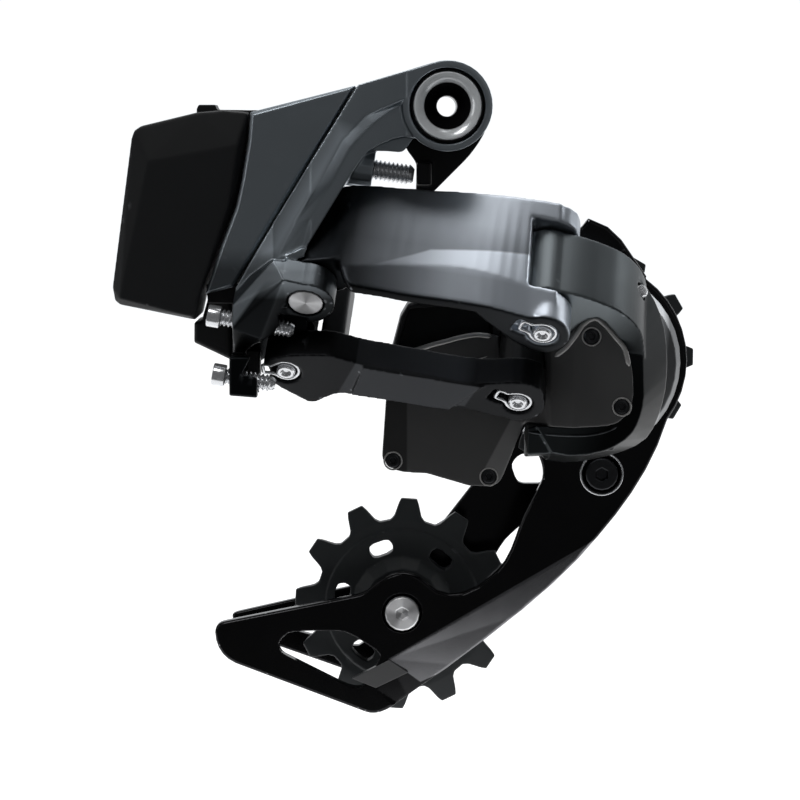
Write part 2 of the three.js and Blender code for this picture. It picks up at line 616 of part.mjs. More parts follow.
function outerLink() {
  const rearRib = pinPlate([[-1, 5.9], [7, 7], [11, 3], [8, -3.4, 2], [0, -6]], LINK_NEAR, LINK_FAR);
  const rear = pinRod(OUTER_REAR, LINK_NEAR, LINK_FAR, HUB_RADIUS, LARGE_SIDES);
  const frontHub = (from, to) => join(
    pinRod(OUTER_FRONT, from, to, HUB_RADIUS, LARGE_SIDES),
    pinPlate([[36, -0.8], [47, -4], [54, -5.6], [51.4, -15.8], [46, -13.6, 3], [38, -4, 4]], from, to),
  );
  const upperLug = pinPlate([[38, 1.4], [47, -0.4], [53.6, -1.6, 3], [58.4, -4.4, 5], [58.2, -12, 4],
    [52, -16, 3], [46, -13], [38, -4]], OUTER_BARREL_END + GAP, 32.6);
  const body = join(linkSkin(), rearRib, rear, frontHub(0, OUTER_LUG), upperLug);
  return whole(cut(
    body,
    pinPlate([[48.2, 12], [70, 12], [70, -30], [48.2, -30]], OUTER_LUG, OUTER_BARREL_END + GAP),
    pinRod(OUTER_FRONT, OUTER_LUG, OUTER_BARREL_END + GAP, HUB_RADIUS + 0.6, MIDDLE_SIDES),
    pinRod(OUTER_FRONT, -2, 40, PIN_RADIUS + GAP, SMALL_SIDES),
    pinRod(OUTER_REAR, 0, 40, PIN_RADIUS + GAP, SMALL_SIDES),
    counterbore(OUTER_FRONT, 0, FRONT_EAR),
  ));
}

function innerLink() {
  const arm = pinPlate([[-9.4, -20.6, 2], [-2.2, -26.9, 1], [-0.6, -27, 1], [5, -23.4, 2], [33, -28, 3],
    [43, -32, 3], [51.4, -29.4, 5], [51.4, -20.6, 4], [47, -18.6, 3], [36.6, -19.6, 3], [10.8, -13, 3],
    [5, -10.4, 1], [-5, -10.4, 4], [-11.6, -13.4, 3]], INNER_START, INNER_ARM_BACK);
  const facet = hull(...[[12, -13.8], [8.4, -22.4], [30, -27.4], [38.5, -20]].flatMap(([x, z]) => [
    inPins(x, INNER_START + 0.2, z), inPins(x, INNER_START - 0.5 - (z < -20.5 ? 0.9 : 0), z)]));
  const web = pinPlate([[1.8, -10.6, 1], [6.8, -12.8, 1], [6, -22.4, 1], [1, -25.6, 1]],
    INNER_ARM_BACK - 0.5, INNER_WEB_END);
  const rearHub = join(
    pinRod(INNER_REAR, 16.8, INNER_WEB_END, 5.8, MIDDLE_SIDES),
    pinPlate([[-5.9, -11], [4, -11.4], [3, -24], [-5.9, -22.2]], 16.8, INNER_WEB_END),
  );
  const frontHub = pinRod(INNER_FRONT, INNER_START, INNER_ARM_BACK, HUB_RADIUS, LARGE_SIDES);
  return cut(
    join(arm, facet, web, rearHub, frontHub),
    pinRod(INNER_REAR, -10, 40, PIN_RADIUS + GAP, SMALL_SIDES),
    pinRod(INNER_REAR, INNER_ARM_BACK, 16.8, 6.3, MIDDLE_SIDES),
    pinRod(INNER_FRONT, -10, 10, PIN_RADIUS + GAP, SMALL_SIDES),
    counterbore(INNER_REAR, INNER_START, REAR_EAR),
    counterbore(INNER_FRONT, INNER_START, FRONT_EAR),
  );
}

// ---------------------------------------------------------------- P-knuckle

// Outline points placed at one depth.
function atDepth(points, y) {
  return points.map(([x, z]) => [x, y, z]);
}

// Points on a smooth closed curve through an outline's corners.
function smoothOutline(corners, count = 27) {
  const path = new THREE.CatmullRomCurve3(corners.map(([x, z]) => vec(x, 0, z)), true, 'chordal');
  return path.getPoints(count).slice(1).map(({ x, z }) => [x, z]);
}

function pKnuckle() {
  const bridge = join(
    pinPlate([[51.4, -3.8], [60, -6.2, 8], [69, -11.6, 6], [73, -18.4, 4], [73.4, -27], [66, -34],
      [57, -30], [50, -15.6]], OUTER_LUG + 0.4, OUTER_BARREL_END - GAP, 0, { curveSegments: 7 }),
    pinRod(OUTER_FRONT, OUTER_LUG + 0.4, OUTER_BARREL_END - GAP, HUB_RADIUS - 0.1, LARGE_SIDES),
  );
  const shell = hull(
    ...atDepth(smoothOutline([[24, -51], [32, -46], [40, -48.4], [43.6, -53], [44.3, -60], [44.2, -68],
      [42, -73.5], [36, -77.5], [24, -78]]), -10.2),
    ...atDepth(smoothOutline([[23, -44], [34, -37], [44, -39], [49.2, -47], [51, -58], [50, -68],
      [46.4, -76], [38, -80], [23, -81]]), -1),
    ...atDepth(smoothOutline([[23, -46], [34, -38], [44, -40.5], [49.4, -48], [51.2, -58], [50.2, -68],
      [46.6, -76], [38, -80.2], [23, -81.2]]), 3.5),
  );
  const skirt = hull(
    ...atDepth([[18.4, -72.4], [18.4, -78.6], [38, -77.6], [40, -70]], -9.4),
    ...atDepth([[18.4, -72.4], [18.4, -81], [38, -80], [40, -70]], 3.5),
  );
  return cut(
    join(bridge, shell, skirt),
    pinRod(OUTER_FRONT, -2, 40, PIN_RADIUS + GAP, SMALL_SIDES),
    gearboxEnvelope(GAP),
    coverEnvelope(GAP),
    rodY(PULLEY_PIVOT.x, PULLEY_PIVOT.z, 3.5, 40, 30, MIDDLE_SIDES),
    rodY(PULLEY_PIVOT.x, PULLEY_PIVOT.z, -5, 6, 5.3, MIDDLE_SIDES),
    rod(BUTTON_AT.clone().addScaledVector(BUTTON_AXIS, -6),
      BUTTON_AT.clone().addScaledVector(BUTTON_AXIS, 6), 2, SMALL_SIDES),
  );
}

const GEARBOX_OUTLINE = [[-12.8, -57], [-9.4, -44, 4], [6, -42.6], [20.6, -43.4, 4], [21.6, -68],
  [15.2, -79], [11.6, -86, 4], [5.1, -86], [-4.4, -83.2], [-10, -82.9], [-14.4, -79.6, 4]];

function gearboxEnvelope(room) {
  const grown = GEARBOX_OUTLINE.map(([x, z, r]) => {
    const away = vec(x - 4, 0, z + 64).normalize();
    return [x + away.x * room * 1.5, z + away.z * room * 1.5, r];
  });
  return join(
    plate(grown, GEARBOX_FRONT - room, GEARBOX_BACK + room),
    pinRod(INNER_FRONT, INNER_ARM_BACK + GAP, 22, 5.2 + room, MIDDLE_SIDES),
  );
}

function gearboxHousing() {
  const shell = plate(GEARBOX_OUTLINE, GEARBOX_FRONT, GEARBOX_BACK, 0.8);
  const cavity = plate([[-11.4, -56], [-8.4, -46], [6, -45], [10.6, -46], [10.6, -66], [12, -77], [9, -82],
    [4.6, -82.2], [-4.6, -80.6], [-9, -80.2], [-12.2, -78]], GEARBOX_FRONT - 2, GEARBOX_BACK - 1.6);
  const barrel = pinRod(INNER_FRONT, INNER_ARM_BACK + GAP, 21, 5.2, MIDDLE_SIDES);
  return cut(
    join(cut(shell, cavity), barrel),
    pinRod(INNER_FRONT, -10, 24, PIN_RADIUS + GAP, SMALL_SIDES),
    pinRod(OUTER_FRONT, OUTER_LUG, OUTER_BARREL_END + 3, HUB_RADIUS + 0.5, MIDDLE_SIDES),
  );
}

const COVER_OUTLINE = [[-13.1, -57.2], [-9.1, -55.4, 1], [0.7, -52.7, 6], [7.6, -51.1, 4], [12.4, -52, 3],
  [17, -55.4, 3], [22.4, -55.8, 4], [26.6, -52, 3], [29.4, -48, 2], [33.5, -46, 2.5], [39.4, -52.4, 3],
  [41.9, -58, 4], [42.1, -67, 3], [38.8, -71.4, 3], [28, -72.2, 4], [18.2, -71.8, 1], [12.9, -85.4, 1.5],
  [11, -87, 1], [5.2, -86.7], [-4.3, -83.9], [-9.6, -83.6], [-12.8, -82.8, 1], [-14.7, -80.6, 1]];

// Plan of the cover: low over the gearbox, stepping outboard over the shell.
const COVER_STEP = -8.6;                  // Y part-way up the slope
const COVER_HIGH = -10.4;                 // Y of the raised part's underside
const coverPlan = (near, far) => [
  [-20, GEARBOX_FRONT - near],
  [18, GEARBOX_FRONT - near],
  [24, COVER_STEP - near],
  [29, COVER_HIGH - near],
  [50, COVER_HIGH - near],
  [50, COVER_HIGH - far],
  [28.6, COVER_HIGH - far],
  [23.6, COVER_STEP - far],
  [17.6, GEARBOX_FRONT - far],
  [-20, GEARBOX_FRONT - far],
];

function coverEnvelope(room) {
  return plate(COVER_OUTLINE, -30, 0).intersect(slab(coverPlan(-room, COVER_THICKNESS + 12), -100, -30));
}

function motorCover() {
  const body = plate(COVER_OUTLINE, -30, 0)
    .intersect(slab(coverPlan(GAP, COVER_THICKNESS + GAP), -100, -30));
  return cut(
    body,
    pinRod(INNER_FRONT, -10, 24, 5.2 + GAP, MIDDLE_SIDES),
    pinRod(OUTER_FRONT, -4, OUTER_LUG + 4, HUB_RADIUS + 0.6, MIDDLE_SIDES),
    ...COVER_SCREWS.map((at) => rodY(at.x, at.z, -30, 4, 1.3, SMALL_SIDES)),
    ...COVER_SCREWS.map((at) => rodY(at.x, at.z, -30, at.y + 1.2, 2.1, SMALL_SIDES)),
  );
}

// Screws hold the cover: y is the outboard face of the cover at each of them.
const COVER_SCREWS = [
  { x: 32.5, y: -12.7, z: -51.3 },
  { x: 39.5, y: -12.7, z: -67.2 },
  { x: -12.1, y: -3.3, z: -80.9 },
  { x: 10, y: -3.3, z: -84.6 },
];

function coverScrew(at) {
  return screw({
    at: vec(at.x, at.y + 0.1, at.z), direction: ALONG_Y, headRadius: 1.8, headLength: 0.8, radius: 1,
    length: 1.9, key: { radius: 0.9, depth: 0.6 },
  });
}

const BUTTON_AXIS = vec(0.42, -0.72, 0.55).normalize();
const BUTTON_AT = vec(43.6, -5, -42.4);

function functionButton() {
  const profile = [[0, -4], [1.6, -4], [1.6, 1.8], [1.3, 2.2], [0, 2.2]];
  return turned(profile, BUTTON_AT, BUTTON_AXIS, SMALL_SIDES);
}

function damperHousing() {
  const profile = [[5.4, 3.8], [17, 3.8], [20.6, 4.8], [DAMPER_RADIUS, 8],
    [DAMPER_RADIUS, 10.6], [5.4, 10.6]];
  const at = vec(PULLEY_PIVOT.x, 0, PULLEY_PIVOT.z);
  const pocket = turned([[6.6, 5.4], [12.4, 5.4], [12.4, 12], [6.6, 12]], at, ALONG_Y);
  return cut(turned(profile, at, ALONG_Y, LARGE_SIDES), pocket, gearboxEnvelope(GAP));
}

// ---------------------------------------------------------------- shift motor

const PINION_TEETH = 8;
const REDUCTION_TEETH = 20;
const MOTOR_AT = { x: -3.6, z: -72.4 };
const REDUCTION_AT = { x: -1.4, z: -61.4 };

function shiftMotor() {
  const profile = [[0, 1.4], [5.4, 1.4], [6, 2], [6, 8], [0, 8]];
  return turned(profile, vec(MOTOR_AT.x, 0, MOTOR_AT.z), ALONG_Y);
}

// Teeth are evenly spaced about the Y axis through a point.
function gear(at, near, far, teeth, tip, root, bore) {
  const shape = new THREE.Shape();
  const step = (Math.PI * 2) / teeth;
  for (let tooth = 0; tooth < teeth; tooth += 1) {
    const angle = tooth * step;
    [[-0.34, root], [-0.16, tip], [0.16, tip], [0.34, root]].forEach(([part, radius]) => {
      const x = Math.cos(angle + part * step) * radius;
      const z = Math.sin(angle + part * step) * radius;
      if (tooth === 0 && part === -0.34) {
        shape.moveTo(x, z);
      } else {
        shape.lineTo(x, z);
      }
    });
  }
  shape.closePath();
  const moved = plate(shape, near, far).translate([at.x, 0, at.z]);
  return bore > 0 ? cut(moved, rodY(at.x, at.z, near - 1, far + 1, bore, 10)) : moved;
}

// ---------------------------------------------------------------- cage

function pulleyShape(tip) {
  const shape = new THREE.Shape();
  const step = (Math.PI * 2) / TEETH;
  const corners = [[-0.29, PULLEY_ROOT + 1], [-0.19, tip - 1.3], [-0.14, tip], [0.14, tip],
    [0.19, tip - 1.3], [0.29, PULLEY_ROOT + 1], [0.38, PULLEY_ROOT + 0.1], [0.62, PULLEY_ROOT + 0.1]];
  for (let tooth = 0; tooth < TEETH; tooth += 1) {
    corners.forEach(([part, radius], index) => {
      const angle = (tooth + part) * step;
      const x = Math.cos(angle) * radius;
      const z = Math.sin(angle) * radius;
      if (tooth === 0 && index === 0) {
        shape.moveTo(x, z);
      } else {
        shape.lineTo(x, z);
      }
    });
  }
  shape.closePath();
  return shape;
}

const WINDOWS = 6;
const WINDOW_RADIUS = 14.6;
const WINDOW_TURN = 54;

function pulley(centre, tip, turn) {
  const at = vec(centre.x, PULLEY_MIDDLE, centre.z);
  const half = TOOTH_THICKNESS / 2;
  const taper = turned([[0, -half], [PULLEY_ROOT, -half], [tip + 0.1, 0.5 - half], [tip + 0.1, half - 0.5],
    [PULLEY_ROOT, half], [0, half]], vec(0, 0, 0), ALONG_Y, LARGE_SIDES);
  const rim = plate(pulleyShape(tip), -half, half)
    .intersect(taper)
    .rotate([0, -turn, 0])
    .translate([centre.x, PULLEY_MIDDLE, centre.z]);
  const web = turned([[0, -1.7], [18.6, -1.7], [18.6, 1.7], [0, 1.7]], at, ALONG_Y, LARGE_SIDES);
  const hub = turned([[0, -HUB_HALF_WIDTH], [9.4, -HUB_HALF_WIDTH], [12.2, -1.7], [12.2, 1.7],
    [9.4, HUB_HALF_WIDTH], [0, HUB_HALF_WIDTH]], at, ALONG_Y, MIDDLE_SIDES);
  const windows = [];
  for (let index = 0; index < WINDOWS; index += 1) {
    const turned = turn + WINDOW_TURN + (index * 360) / WINDOWS;
    const angle = THREE.MathUtils.degToRad(turned);
    const x = centre.x + Math.cos(angle) * WINDOW_RADIUS;
    const z = centre.z + Math.sin(angle) * WINDOW_RADIUS;
    windows.push(
      plate([[-2.9, -1.7, 1.6], [2.9, -1.7, 1.6], [2.9, 1.9, 1.6], [-2.9, 1.9, 1.6]], -6, 6)
        .rotate([0, 90 - turned, 0])
        .translate([x, PULLEY_MIDDLE, z]),
    );
  }
  return cut(
    join(rim, web, hub),
    ...windows,
    rodY(centre.x, centre.z, 10, 34, BEARING_OUTER + GAP, MIDDLE_SIDES),
  );
}

const BEARING_HALF_WIDTH = 2.5;
const bearing = (centre) => ringY(
  centre,
  PULLEY_MIDDLE - BEARING_HALF_WIDTH,
  PULLEY_MIDDLE + BEARING_HALF_WIDTH,
  BEARING_INNER,
  BEARING_OUTER,
  MIDDLE_SIDES,
);

// Dished dust cover beside a pulley, with a collar that reaches the bearing.
function dustCover(centre, side) {
  const face = PULLEY_MIDDLE + side * (HUB_HALF_WIDTH + GAP);
  const plateEdge = side < 0 ? OUTER_PLATE_BACK + GAP : INNER_PLATE_FRONT - GAP;
  const collar = PULLEY_MIDDLE + side * (BEARING_HALF_WIDTH + GAP);
  const near = Math.min(face, plateEdge);
  const far = Math.max(face, plateEdge);
  const bore = CAGE_BOLT_RADIUS + GAP;
  const sleeveNear = Math.min(collar, face) - 0.1;
  const sleeveFar = Math.max(collar, face) + 0.1;
  return join(
    ringY(centre, near, far, bore, 8.6, MIDDLE_SIDES),
    ringY(centre, sleeveNear, sleeveFar, bore, 4.2, MIDDLE_SIDES),
  );
}

function outerCageOutline() {
  const shape = new THREE.Shape();
  shape.moveTo(21, -38.6);
  shape.lineTo(32.2, -27.6);
  shape.lineTo(33.6, -25.8);
  shape.lineTo(38.2, -27.8);
  shape.lineTo(41.4, -30.8);
  shape.lineTo(47.4, -39.4);
  shape.absarc(PULLEY_PIVOT.x, PULLEY_PIVOT.z, GUARD_RADIUS, 0.95, -0.62, true);
  shape.bezierCurveTo(49.6, -84, 44, -92.6, 36.6, -101.4);
  shape.bezierCurveTo(29.6, -110.4, 18, -120.6, 0.4, -133.8);
  shape.lineTo(-12, -142.6);
  shape.quadraticCurveTo(-16, -145.4, -19, -144.1);
  shape.lineTo(-50, -132.2);
  shape.quadraticCurveTo(-54.6, -130, -54.8, -124.6);
  shape.quadraticCurveTo(-54.7, -122.4, -52.6, -122);
  shape.lineTo(-21, -115.6);
  shape.quadraticCurveTo(-19, -115.2, -17.2, -113.7);
  shape.quadraticCurveTo(-13, -110, -9.6, -110.1);
  shape.quadraticCurveTo(-6.4, -110.3, -3.8, -112.9);
  shape.bezierCurveTo(-0.4, -116.4, 5, -117.2, 12.6, -110);
  shape.bezierCurveTo(16.4, -106, 17, -101, 19, -96.4);
  shape.lineTo(22.9, -88.6);
  shape.quadraticCurveTo(24.2, -86, 22.4, -82);
  shape.lineTo(14, -70);
  shape.quadraticCurveTo(10.6, -52, 21, -38.6);
  return shape;
}

const CAGE_STOP = { x: 37.3, z: -86.2 };

function outerCagePlate() {
  const body = plate(outerCageOutline(), OUTER_PLATE_FRONT, OUTER_PLATE_BACK, 0.5, { curveSegments: 5 });
  const window = plate([[-39.8, -127.3, 2.5], [-37.4, -124.4, 2], [-23.6, -124, 3], [-14.6, -130, 2],
    [-19.6, -138.4, 1.5], [-23, -137.8, 1.5], [-39, -129.6, 2]], 0, 20);
  // sloping face along the lower front edge
  const face = OUTER_PLATE_FRONT - 0.05;
  const edge = OUTER_PLATE_BACK - 1.2;
  const foot = [[35.6, -102.6], [-13.4, -131], [-16.4, -138.8]];
  const slope = hull(
    ...atDepth([...foot, [-9.3, -135.2], [-20, -150], [50, -150], [60, -100]], 0),
    ...atDepth(foot, face),
    ...atDepth([[44, -112], [-6, -146], [10, -133.6]], edge),
  );
  return cut(
    body,
    window,
    slope,
    rodY(LOWER_PULLEY.x, LOWER_PULLEY.z, 0, 20, CAGE_BOLT_RADIUS + GAP, MIDDLE_SIDES),
    rodY(LOWER_PULLEY.x, LOWER_PULLEY.z, 0, OUTER_PLATE_FRONT + 1.4, 4.8, MIDDLE_SIDES),
    rodY(PULLEY_PIVOT.x, PULLEY_PIVOT.z, 0, 20, 4.6 + GAP, MIDDLE_SIDES),
    rodY(CAGE_STOP.x, CAGE_STOP.z, 0, 20, 2.6, SMALL_SIDES),
    rodY(CAGE_STOP.x, CAGE_STOP.z, 0, OUTER_PLATE_FRONT + 1.2, 4.4, MIDDLE_SIDES),
  );
}

function innerCagePlate() {
  const shape = new THREE.Shape();
  shape.moveTo(17.6, -66);
  shape.absarc(PULLEY_PIVOT.x, PULLEY_PIVOT.z, 17, 2.2, -0.5, true);
  shape.bezierCurveTo(48, -82, 41, -93, 32, -103);
  shape.bezierCurveTo(24, -112, 12, -122, -1, -131);
  shape.lineTo(-13, -139.4);
  shape.quadraticCurveTo(-16, -141.4, -19, -140);
  shape.lineTo(-48.6, -129.4);
  shape.quadraticCurveTo(-52, -127.6, -52, -124.4);
  shape.quadraticCurveTo(-51.8, -123.8, -50, -123.4);
  shape.lineTo(-22, -117);
  shape.bezierCurveTo(-16, -108, -6, -105, 0.4, -100.6);
  shape.lineTo(7, -92);
  shape.lineTo(13, -78);
  shape.closePath();
  const upperWindow = [[16.6, -86.4, 1.5], [19.2, -84, 1], [25, -84.2, 1.5], [25, -91.4, 1.5],
    [18.4, -91.4, 1.5]];
  const lowerWindow = [[20.6, -100.6, 1], [15.4, -105.2, 2], [12.4, -110.2, 1.5], [15.6, -112.4, 1.5],
    [24.6, -107, 2]];
  const rearWindow = [[-38, -126.4, 2], [-36, -124.4, 2], [-24, -123.6, 2], [-17.4, -129, 2],
    [-20.6, -132.6, 2], [-36.6, -128.2, 1]];
  return cut(
    plate(shape, INNER_PLATE_FRONT, INNER_PLATE_BACK, 0.4, { curveSegments: 5 }),
    ...[upperWindow, lowerWindow, rearWindow].map((outline) => plate(outline, 20, 40)),
    rodY(LOWER_PULLEY.x, LOWER_PULLEY.z, 20, 40, CAGE_BOLT_RADIUS + GAP, MIDDLE_SIDES),
    rodY(PULLEY_PIVOT.x, PULLEY_PIVOT.z, 20, 40, CAGE_BOLT_RADIUS + GAP, MIDDLE_SIDES),
  );
}

function cageSpindle() {
  const at = vec(PULLEY_PIVOT.x, 0, PULLEY_PIVOT.z);
  const seat = OUTER_PLATE_FRONT - GAP;
  const profile = [[0, -3], [4.6, -3], [5, -2.4], [5, seat], [4.6, seat], [4.6, OUTER_PLATE_BACK],
    [0, OUTER_PLATE_BACK]];
  return cut(
    turned(profile, at, ALONG_Y, MIDDLE_SIDES),
    rodY(at.x, at.z, 6, 20, CAGE_BOLT_RADIUS + GAP, SMALL_SIDES),
  );
}

function pulleyBolt(centre, from, to, headRadius) {
  return screw({
    at: vec(centre.x, from, centre.z),
    direction: vec(0, Math.sign(to - from), 0),
    headRadius,
    headLength: 2.2,
    radius: CAGE_BOLT_RADIUS,
    length: Math.abs(to - from),
    key: { radius: 1.7, depth: 1.5 },
    sides: MIDDLE_SIDES,
  });
}

function cageStopBolt() {
  return screw({
    at: vec(CAGE_STOP.x, OUTER_PLATE_FRONT - 0.9, CAGE_STOP.z),
    direction: ALONG_Y,
    headRadius: 3.9,
    headLength: 2,
    radius: 2.3,
    length: 6.6,
    key: { radius: 1.6, depth: 1.4 },
    sides: MIDDLE_SIDES,
  });
}

// Coil torsion spring around the cage spindle.
function cageSpring() {
  const turns = 2.6;
  const steps = 30;
  const radius = 9.5;
  const wireRadius = 0.55;
  const start = 6.6;
  const rise = 3.1;
  const points = [];
  for (let index = 0; index <= steps; index += 1) {
    const along = index / steps;
    const angle = along * turns * Math.PI * 2;
    const x = PULLEY_PIVOT.x + Math.cos(angle) * radius;
    const z = PULLEY_PIVOT.z + Math.sin(angle) * radius;
    points.push(vec(x, start + along * rise, z));
  }
  const section = new THREE.Shape().absarc(0, 0, wireRadius, 0, Math.PI * 2);
  return solid(new THREE.ExtrudeGeometry(section, {
    steps, curveSegments: 3, bevelEnabled: false, extrudePath: new THREE.CatmullRomCurve3(points),
  }));
}

// ---------------------------------------------------------------- assembly

const group = new THREE.Group();
group.add(
  ...hangerMount(),
  mesh('b_knuckle', bKnuckle(), 'anodised'),
  mesh('b_bushing', bushing(), 'bronze'),
  mesh('outer_rear_pin', headedPin(OUTER_REAR, 0.1, OUTER_PIN_END - 0.3), 'steel'),
  mesh('b_adjust_screw', bScrew(), 'steel'),
  mesh('upper_limit_screw', limitScrew(UPPER_LIMIT), 'steel'),
  mesh('lower_limit_screw', limitScrew(LOWER_LIMIT), 'steel'),
  mesh('battery_dock', batteryDock(), 'dockPlastic'),
  mesh('dock_foot', dockFoot(), 'plastic'),
  mesh('dock_contacts', contactBlock(), 'copper'),
  mesh('battery_case', batteryCase(), 'plastic'),
  mesh('battery_cell_1', batteryCell(0), 'steel'),
  mesh('battery_cell_2', batteryCell(1), 'steel'),
  mesh('battery_latch', batteryLatch(), 'plastic'),
  mesh('latch_pin', rodY(LATCH_PIVOT.x, LATCH_PIVOT.z, -12.6, -1.4, 0.5, 8), 'steel'),
  mesh('outer_link', outerLink(), 'silverLink'),
  mesh('outer_front_pin', clippedPin(OUTER_FRONT, 0, OUTER_BARREL_END + 1.2), 'steel'),
  mesh('outer_front_clip', pinClip(OUTER_FRONT, CLIP_DEPTH, FRONT_EAR), 'steel'),
  mesh('inner_link', innerLink(), 'plastic'),
  mesh('inner_rear_pin', clippedPin(INNER_REAR, INNER_START, INNER_WEB_END - 0.3), 'steel'),
  mesh('inner_rear_clip', pinClip(INNER_REAR, INNER_START + CLIP_DEPTH, REAR_EAR), 'steel'),
  mesh('inner_front_pin', clippedPin(INNER_FRONT, INNER_START, 20.6), 'steel'),
  mesh('inner_front_clip', pinClip(INNER_FRONT, INNER_START + CLIP_DEPTH, FRONT_EAR), 'steel'),
  mesh('p_knuckle', pKnuckle(), 'anodised'),
  mesh('gearbox_housing', gearboxHousing(), 'plastic'),
  mesh('motor_cover', motorCover(), 'plastic'),
  ...COVER_SCREWS.map((at, index) => mesh(`cover_screw_${index + 1}`, coverScrew(at), 'darkSteel')),
  mesh('shift_motor', shiftMotor(), 'steel'),
  mesh('motor_pinion', gear(MOTOR_AT, -0.7, 1.1, PINION_TEETH, 3.1, 2.4, 0), 'darkSteel'),
  mesh('reduction_gear', gear(REDUCTION_AT, -0.7, 1.1, REDUCTION_TEETH, 7.6, 6.9, 1.3), 'bronze'),
  mesh('reduction_shaft', rodY(REDUCTION_AT.x, REDUCTION_AT.z, -0.8, 8.1, 1, 10), 'steel'),
  mesh('circuit_board', box([3.4, 4.4, -80], [10, 5.6, -69.6]), 'board'),
  mesh('function_button', functionButton(), 'steel'),
  mesh('damper_housing', damperHousing(), 'anodised'),
  mesh('cage_spring', cageSpring(), 'steel'),
  mesh('cage_spindle', cageSpindle(), 'darkSteel'),
  mesh('outer_cage_plate', outerCagePlate(), 'gloss'),
  mesh('inner_cage_plate', innerCagePlate(), 'gloss'),
  mesh('cage_stop_bolt', cageStopBolt(), 'darkSteel'),
  mesh('upper_pulley', pulley(PULLEY_PIVOT, UPPER_TIP, 0), 'pulley'),
  mesh('upper_bearing', bearing(PULLEY_PIVOT), 'steel'),
  mesh('upper_pulley_bolt', pulleyBolt(PULLEY_PIVOT, INNER_PLATE_BACK + 2.5, 8, 4.2), 'darkSteel'),
  mesh('lower_pulley', pulley(LOWER_PULLEY, LOWER_TIP, -3.8), 'pulley'),
  mesh('lower_bearing', bearing(LOWER_PULLEY), 'steel'),
  mesh('lower_pulley_bolt',
    pulleyBolt(LOWER_PULLEY, OUTER_PLATE_FRONT - 1.1, INNER_PLATE_BACK, 4.1), 'darkSteel'),
  ...[['upper', PULLEY_PIVOT], ['lower', LOWER_PULLEY]].flatMap(([which, centre]) => [
    mesh(`${which}_outer_dust_cover`, dustCover(centre, -1), 'pulley'),
    mesh(`${which}_inner_dust_cover`, dustCover(centre, 1), 'pulley'),
  ]),
);

export default group;
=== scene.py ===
"""Rear bicycle derailleur: materials, finished surfaces and small fittings over the CAD frame."""

import json
import math

import bmesh
import bpy
from mathutils import Matrix, Vector


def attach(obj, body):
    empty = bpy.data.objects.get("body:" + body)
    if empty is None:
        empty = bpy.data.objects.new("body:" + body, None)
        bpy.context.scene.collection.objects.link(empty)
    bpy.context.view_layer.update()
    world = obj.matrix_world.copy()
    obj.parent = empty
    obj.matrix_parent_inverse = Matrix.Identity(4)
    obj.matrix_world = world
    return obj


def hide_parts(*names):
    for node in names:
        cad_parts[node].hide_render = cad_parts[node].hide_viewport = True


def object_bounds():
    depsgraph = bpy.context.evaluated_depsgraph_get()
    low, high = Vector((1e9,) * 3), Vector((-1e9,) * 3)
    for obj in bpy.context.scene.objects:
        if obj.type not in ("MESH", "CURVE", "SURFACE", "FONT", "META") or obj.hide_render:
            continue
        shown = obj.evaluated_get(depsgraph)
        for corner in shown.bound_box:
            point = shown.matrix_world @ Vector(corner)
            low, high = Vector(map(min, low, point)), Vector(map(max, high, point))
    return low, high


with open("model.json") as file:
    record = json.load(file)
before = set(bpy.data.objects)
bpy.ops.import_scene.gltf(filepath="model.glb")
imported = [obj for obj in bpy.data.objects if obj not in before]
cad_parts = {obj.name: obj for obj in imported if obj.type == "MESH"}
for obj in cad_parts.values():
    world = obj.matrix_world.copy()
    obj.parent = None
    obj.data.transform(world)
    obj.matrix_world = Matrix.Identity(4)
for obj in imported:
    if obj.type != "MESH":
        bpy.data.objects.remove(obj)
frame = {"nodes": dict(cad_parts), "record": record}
NODES = frame["nodes"]
CAD_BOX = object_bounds()
MM = 0.001

# ---------------------------------------------------------------- camera, floor and lights


def point(x, y, z):
    """A point given in millimetres."""
    return Vector((x * MM, y * MM, z * MM))


def look_at(obj, target):
    obj.rotation_euler = (target - obj.location).to_track_quat("-Z", "Y").to_euler()


LENS = 99
SENSOR_WIDTH = 36
CAMERA_PLACE = (-10.5, -504.4, -5.2)
CAMERA_TARGET = (-10.5, -8.1, -66.2)


def add_camera():
    camera = bpy.data.cameras.new("camera")
    camera.lens = LENS
    camera.sensor_width = SENSOR_WIDTH
    camera.clip_start = 0.01
    holder = bpy.data.objects.new("camera", camera)
    bpy.context.collection.objects.link(holder)
    holder.location = point(*CAMERA_PLACE)
    look_at(holder, point(*CAMERA_TARGET))
    bpy.context.scene.camera = holder


# name: (place, the point it shines on, size, power in watts), in millimetres
LIGHTS = {
    "key": ((-190, -260, 360), (-5, 0, -50), (220, 150), 0.55),
    "top": ((40, 60, 360), (0, 0, -50), (240, 260), 0.5),
    "front": ((180, -460, 60), (0, 0, -80), (60, 320), 0.05),
    "rim": ((330, 60, 60), (20, 0, -80), (60, 260), 0.12),
    "left": ((-380, -120, 20), (-20, 0, -80), (50, 260), 0.1),
}


def add_light(name, place, target, size, power):
    light = bpy.data.lights.new(name, "AREA")
    light.shape = "RECTANGLE"
    light.size = size[0] * MM
    light.size_y = size[1] * MM
    light.energy = power
    holder = bpy.data.objects.new(name, light)
    bpy.context.collection.objects.link(holder)
    holder.location = point(*place)
    look_at(holder, point(*target))


WORLD_RAMP = (("From Min", 0.1), ("From Max", 0.75), ("To Min", 0.1), ("To Max", 1.05))


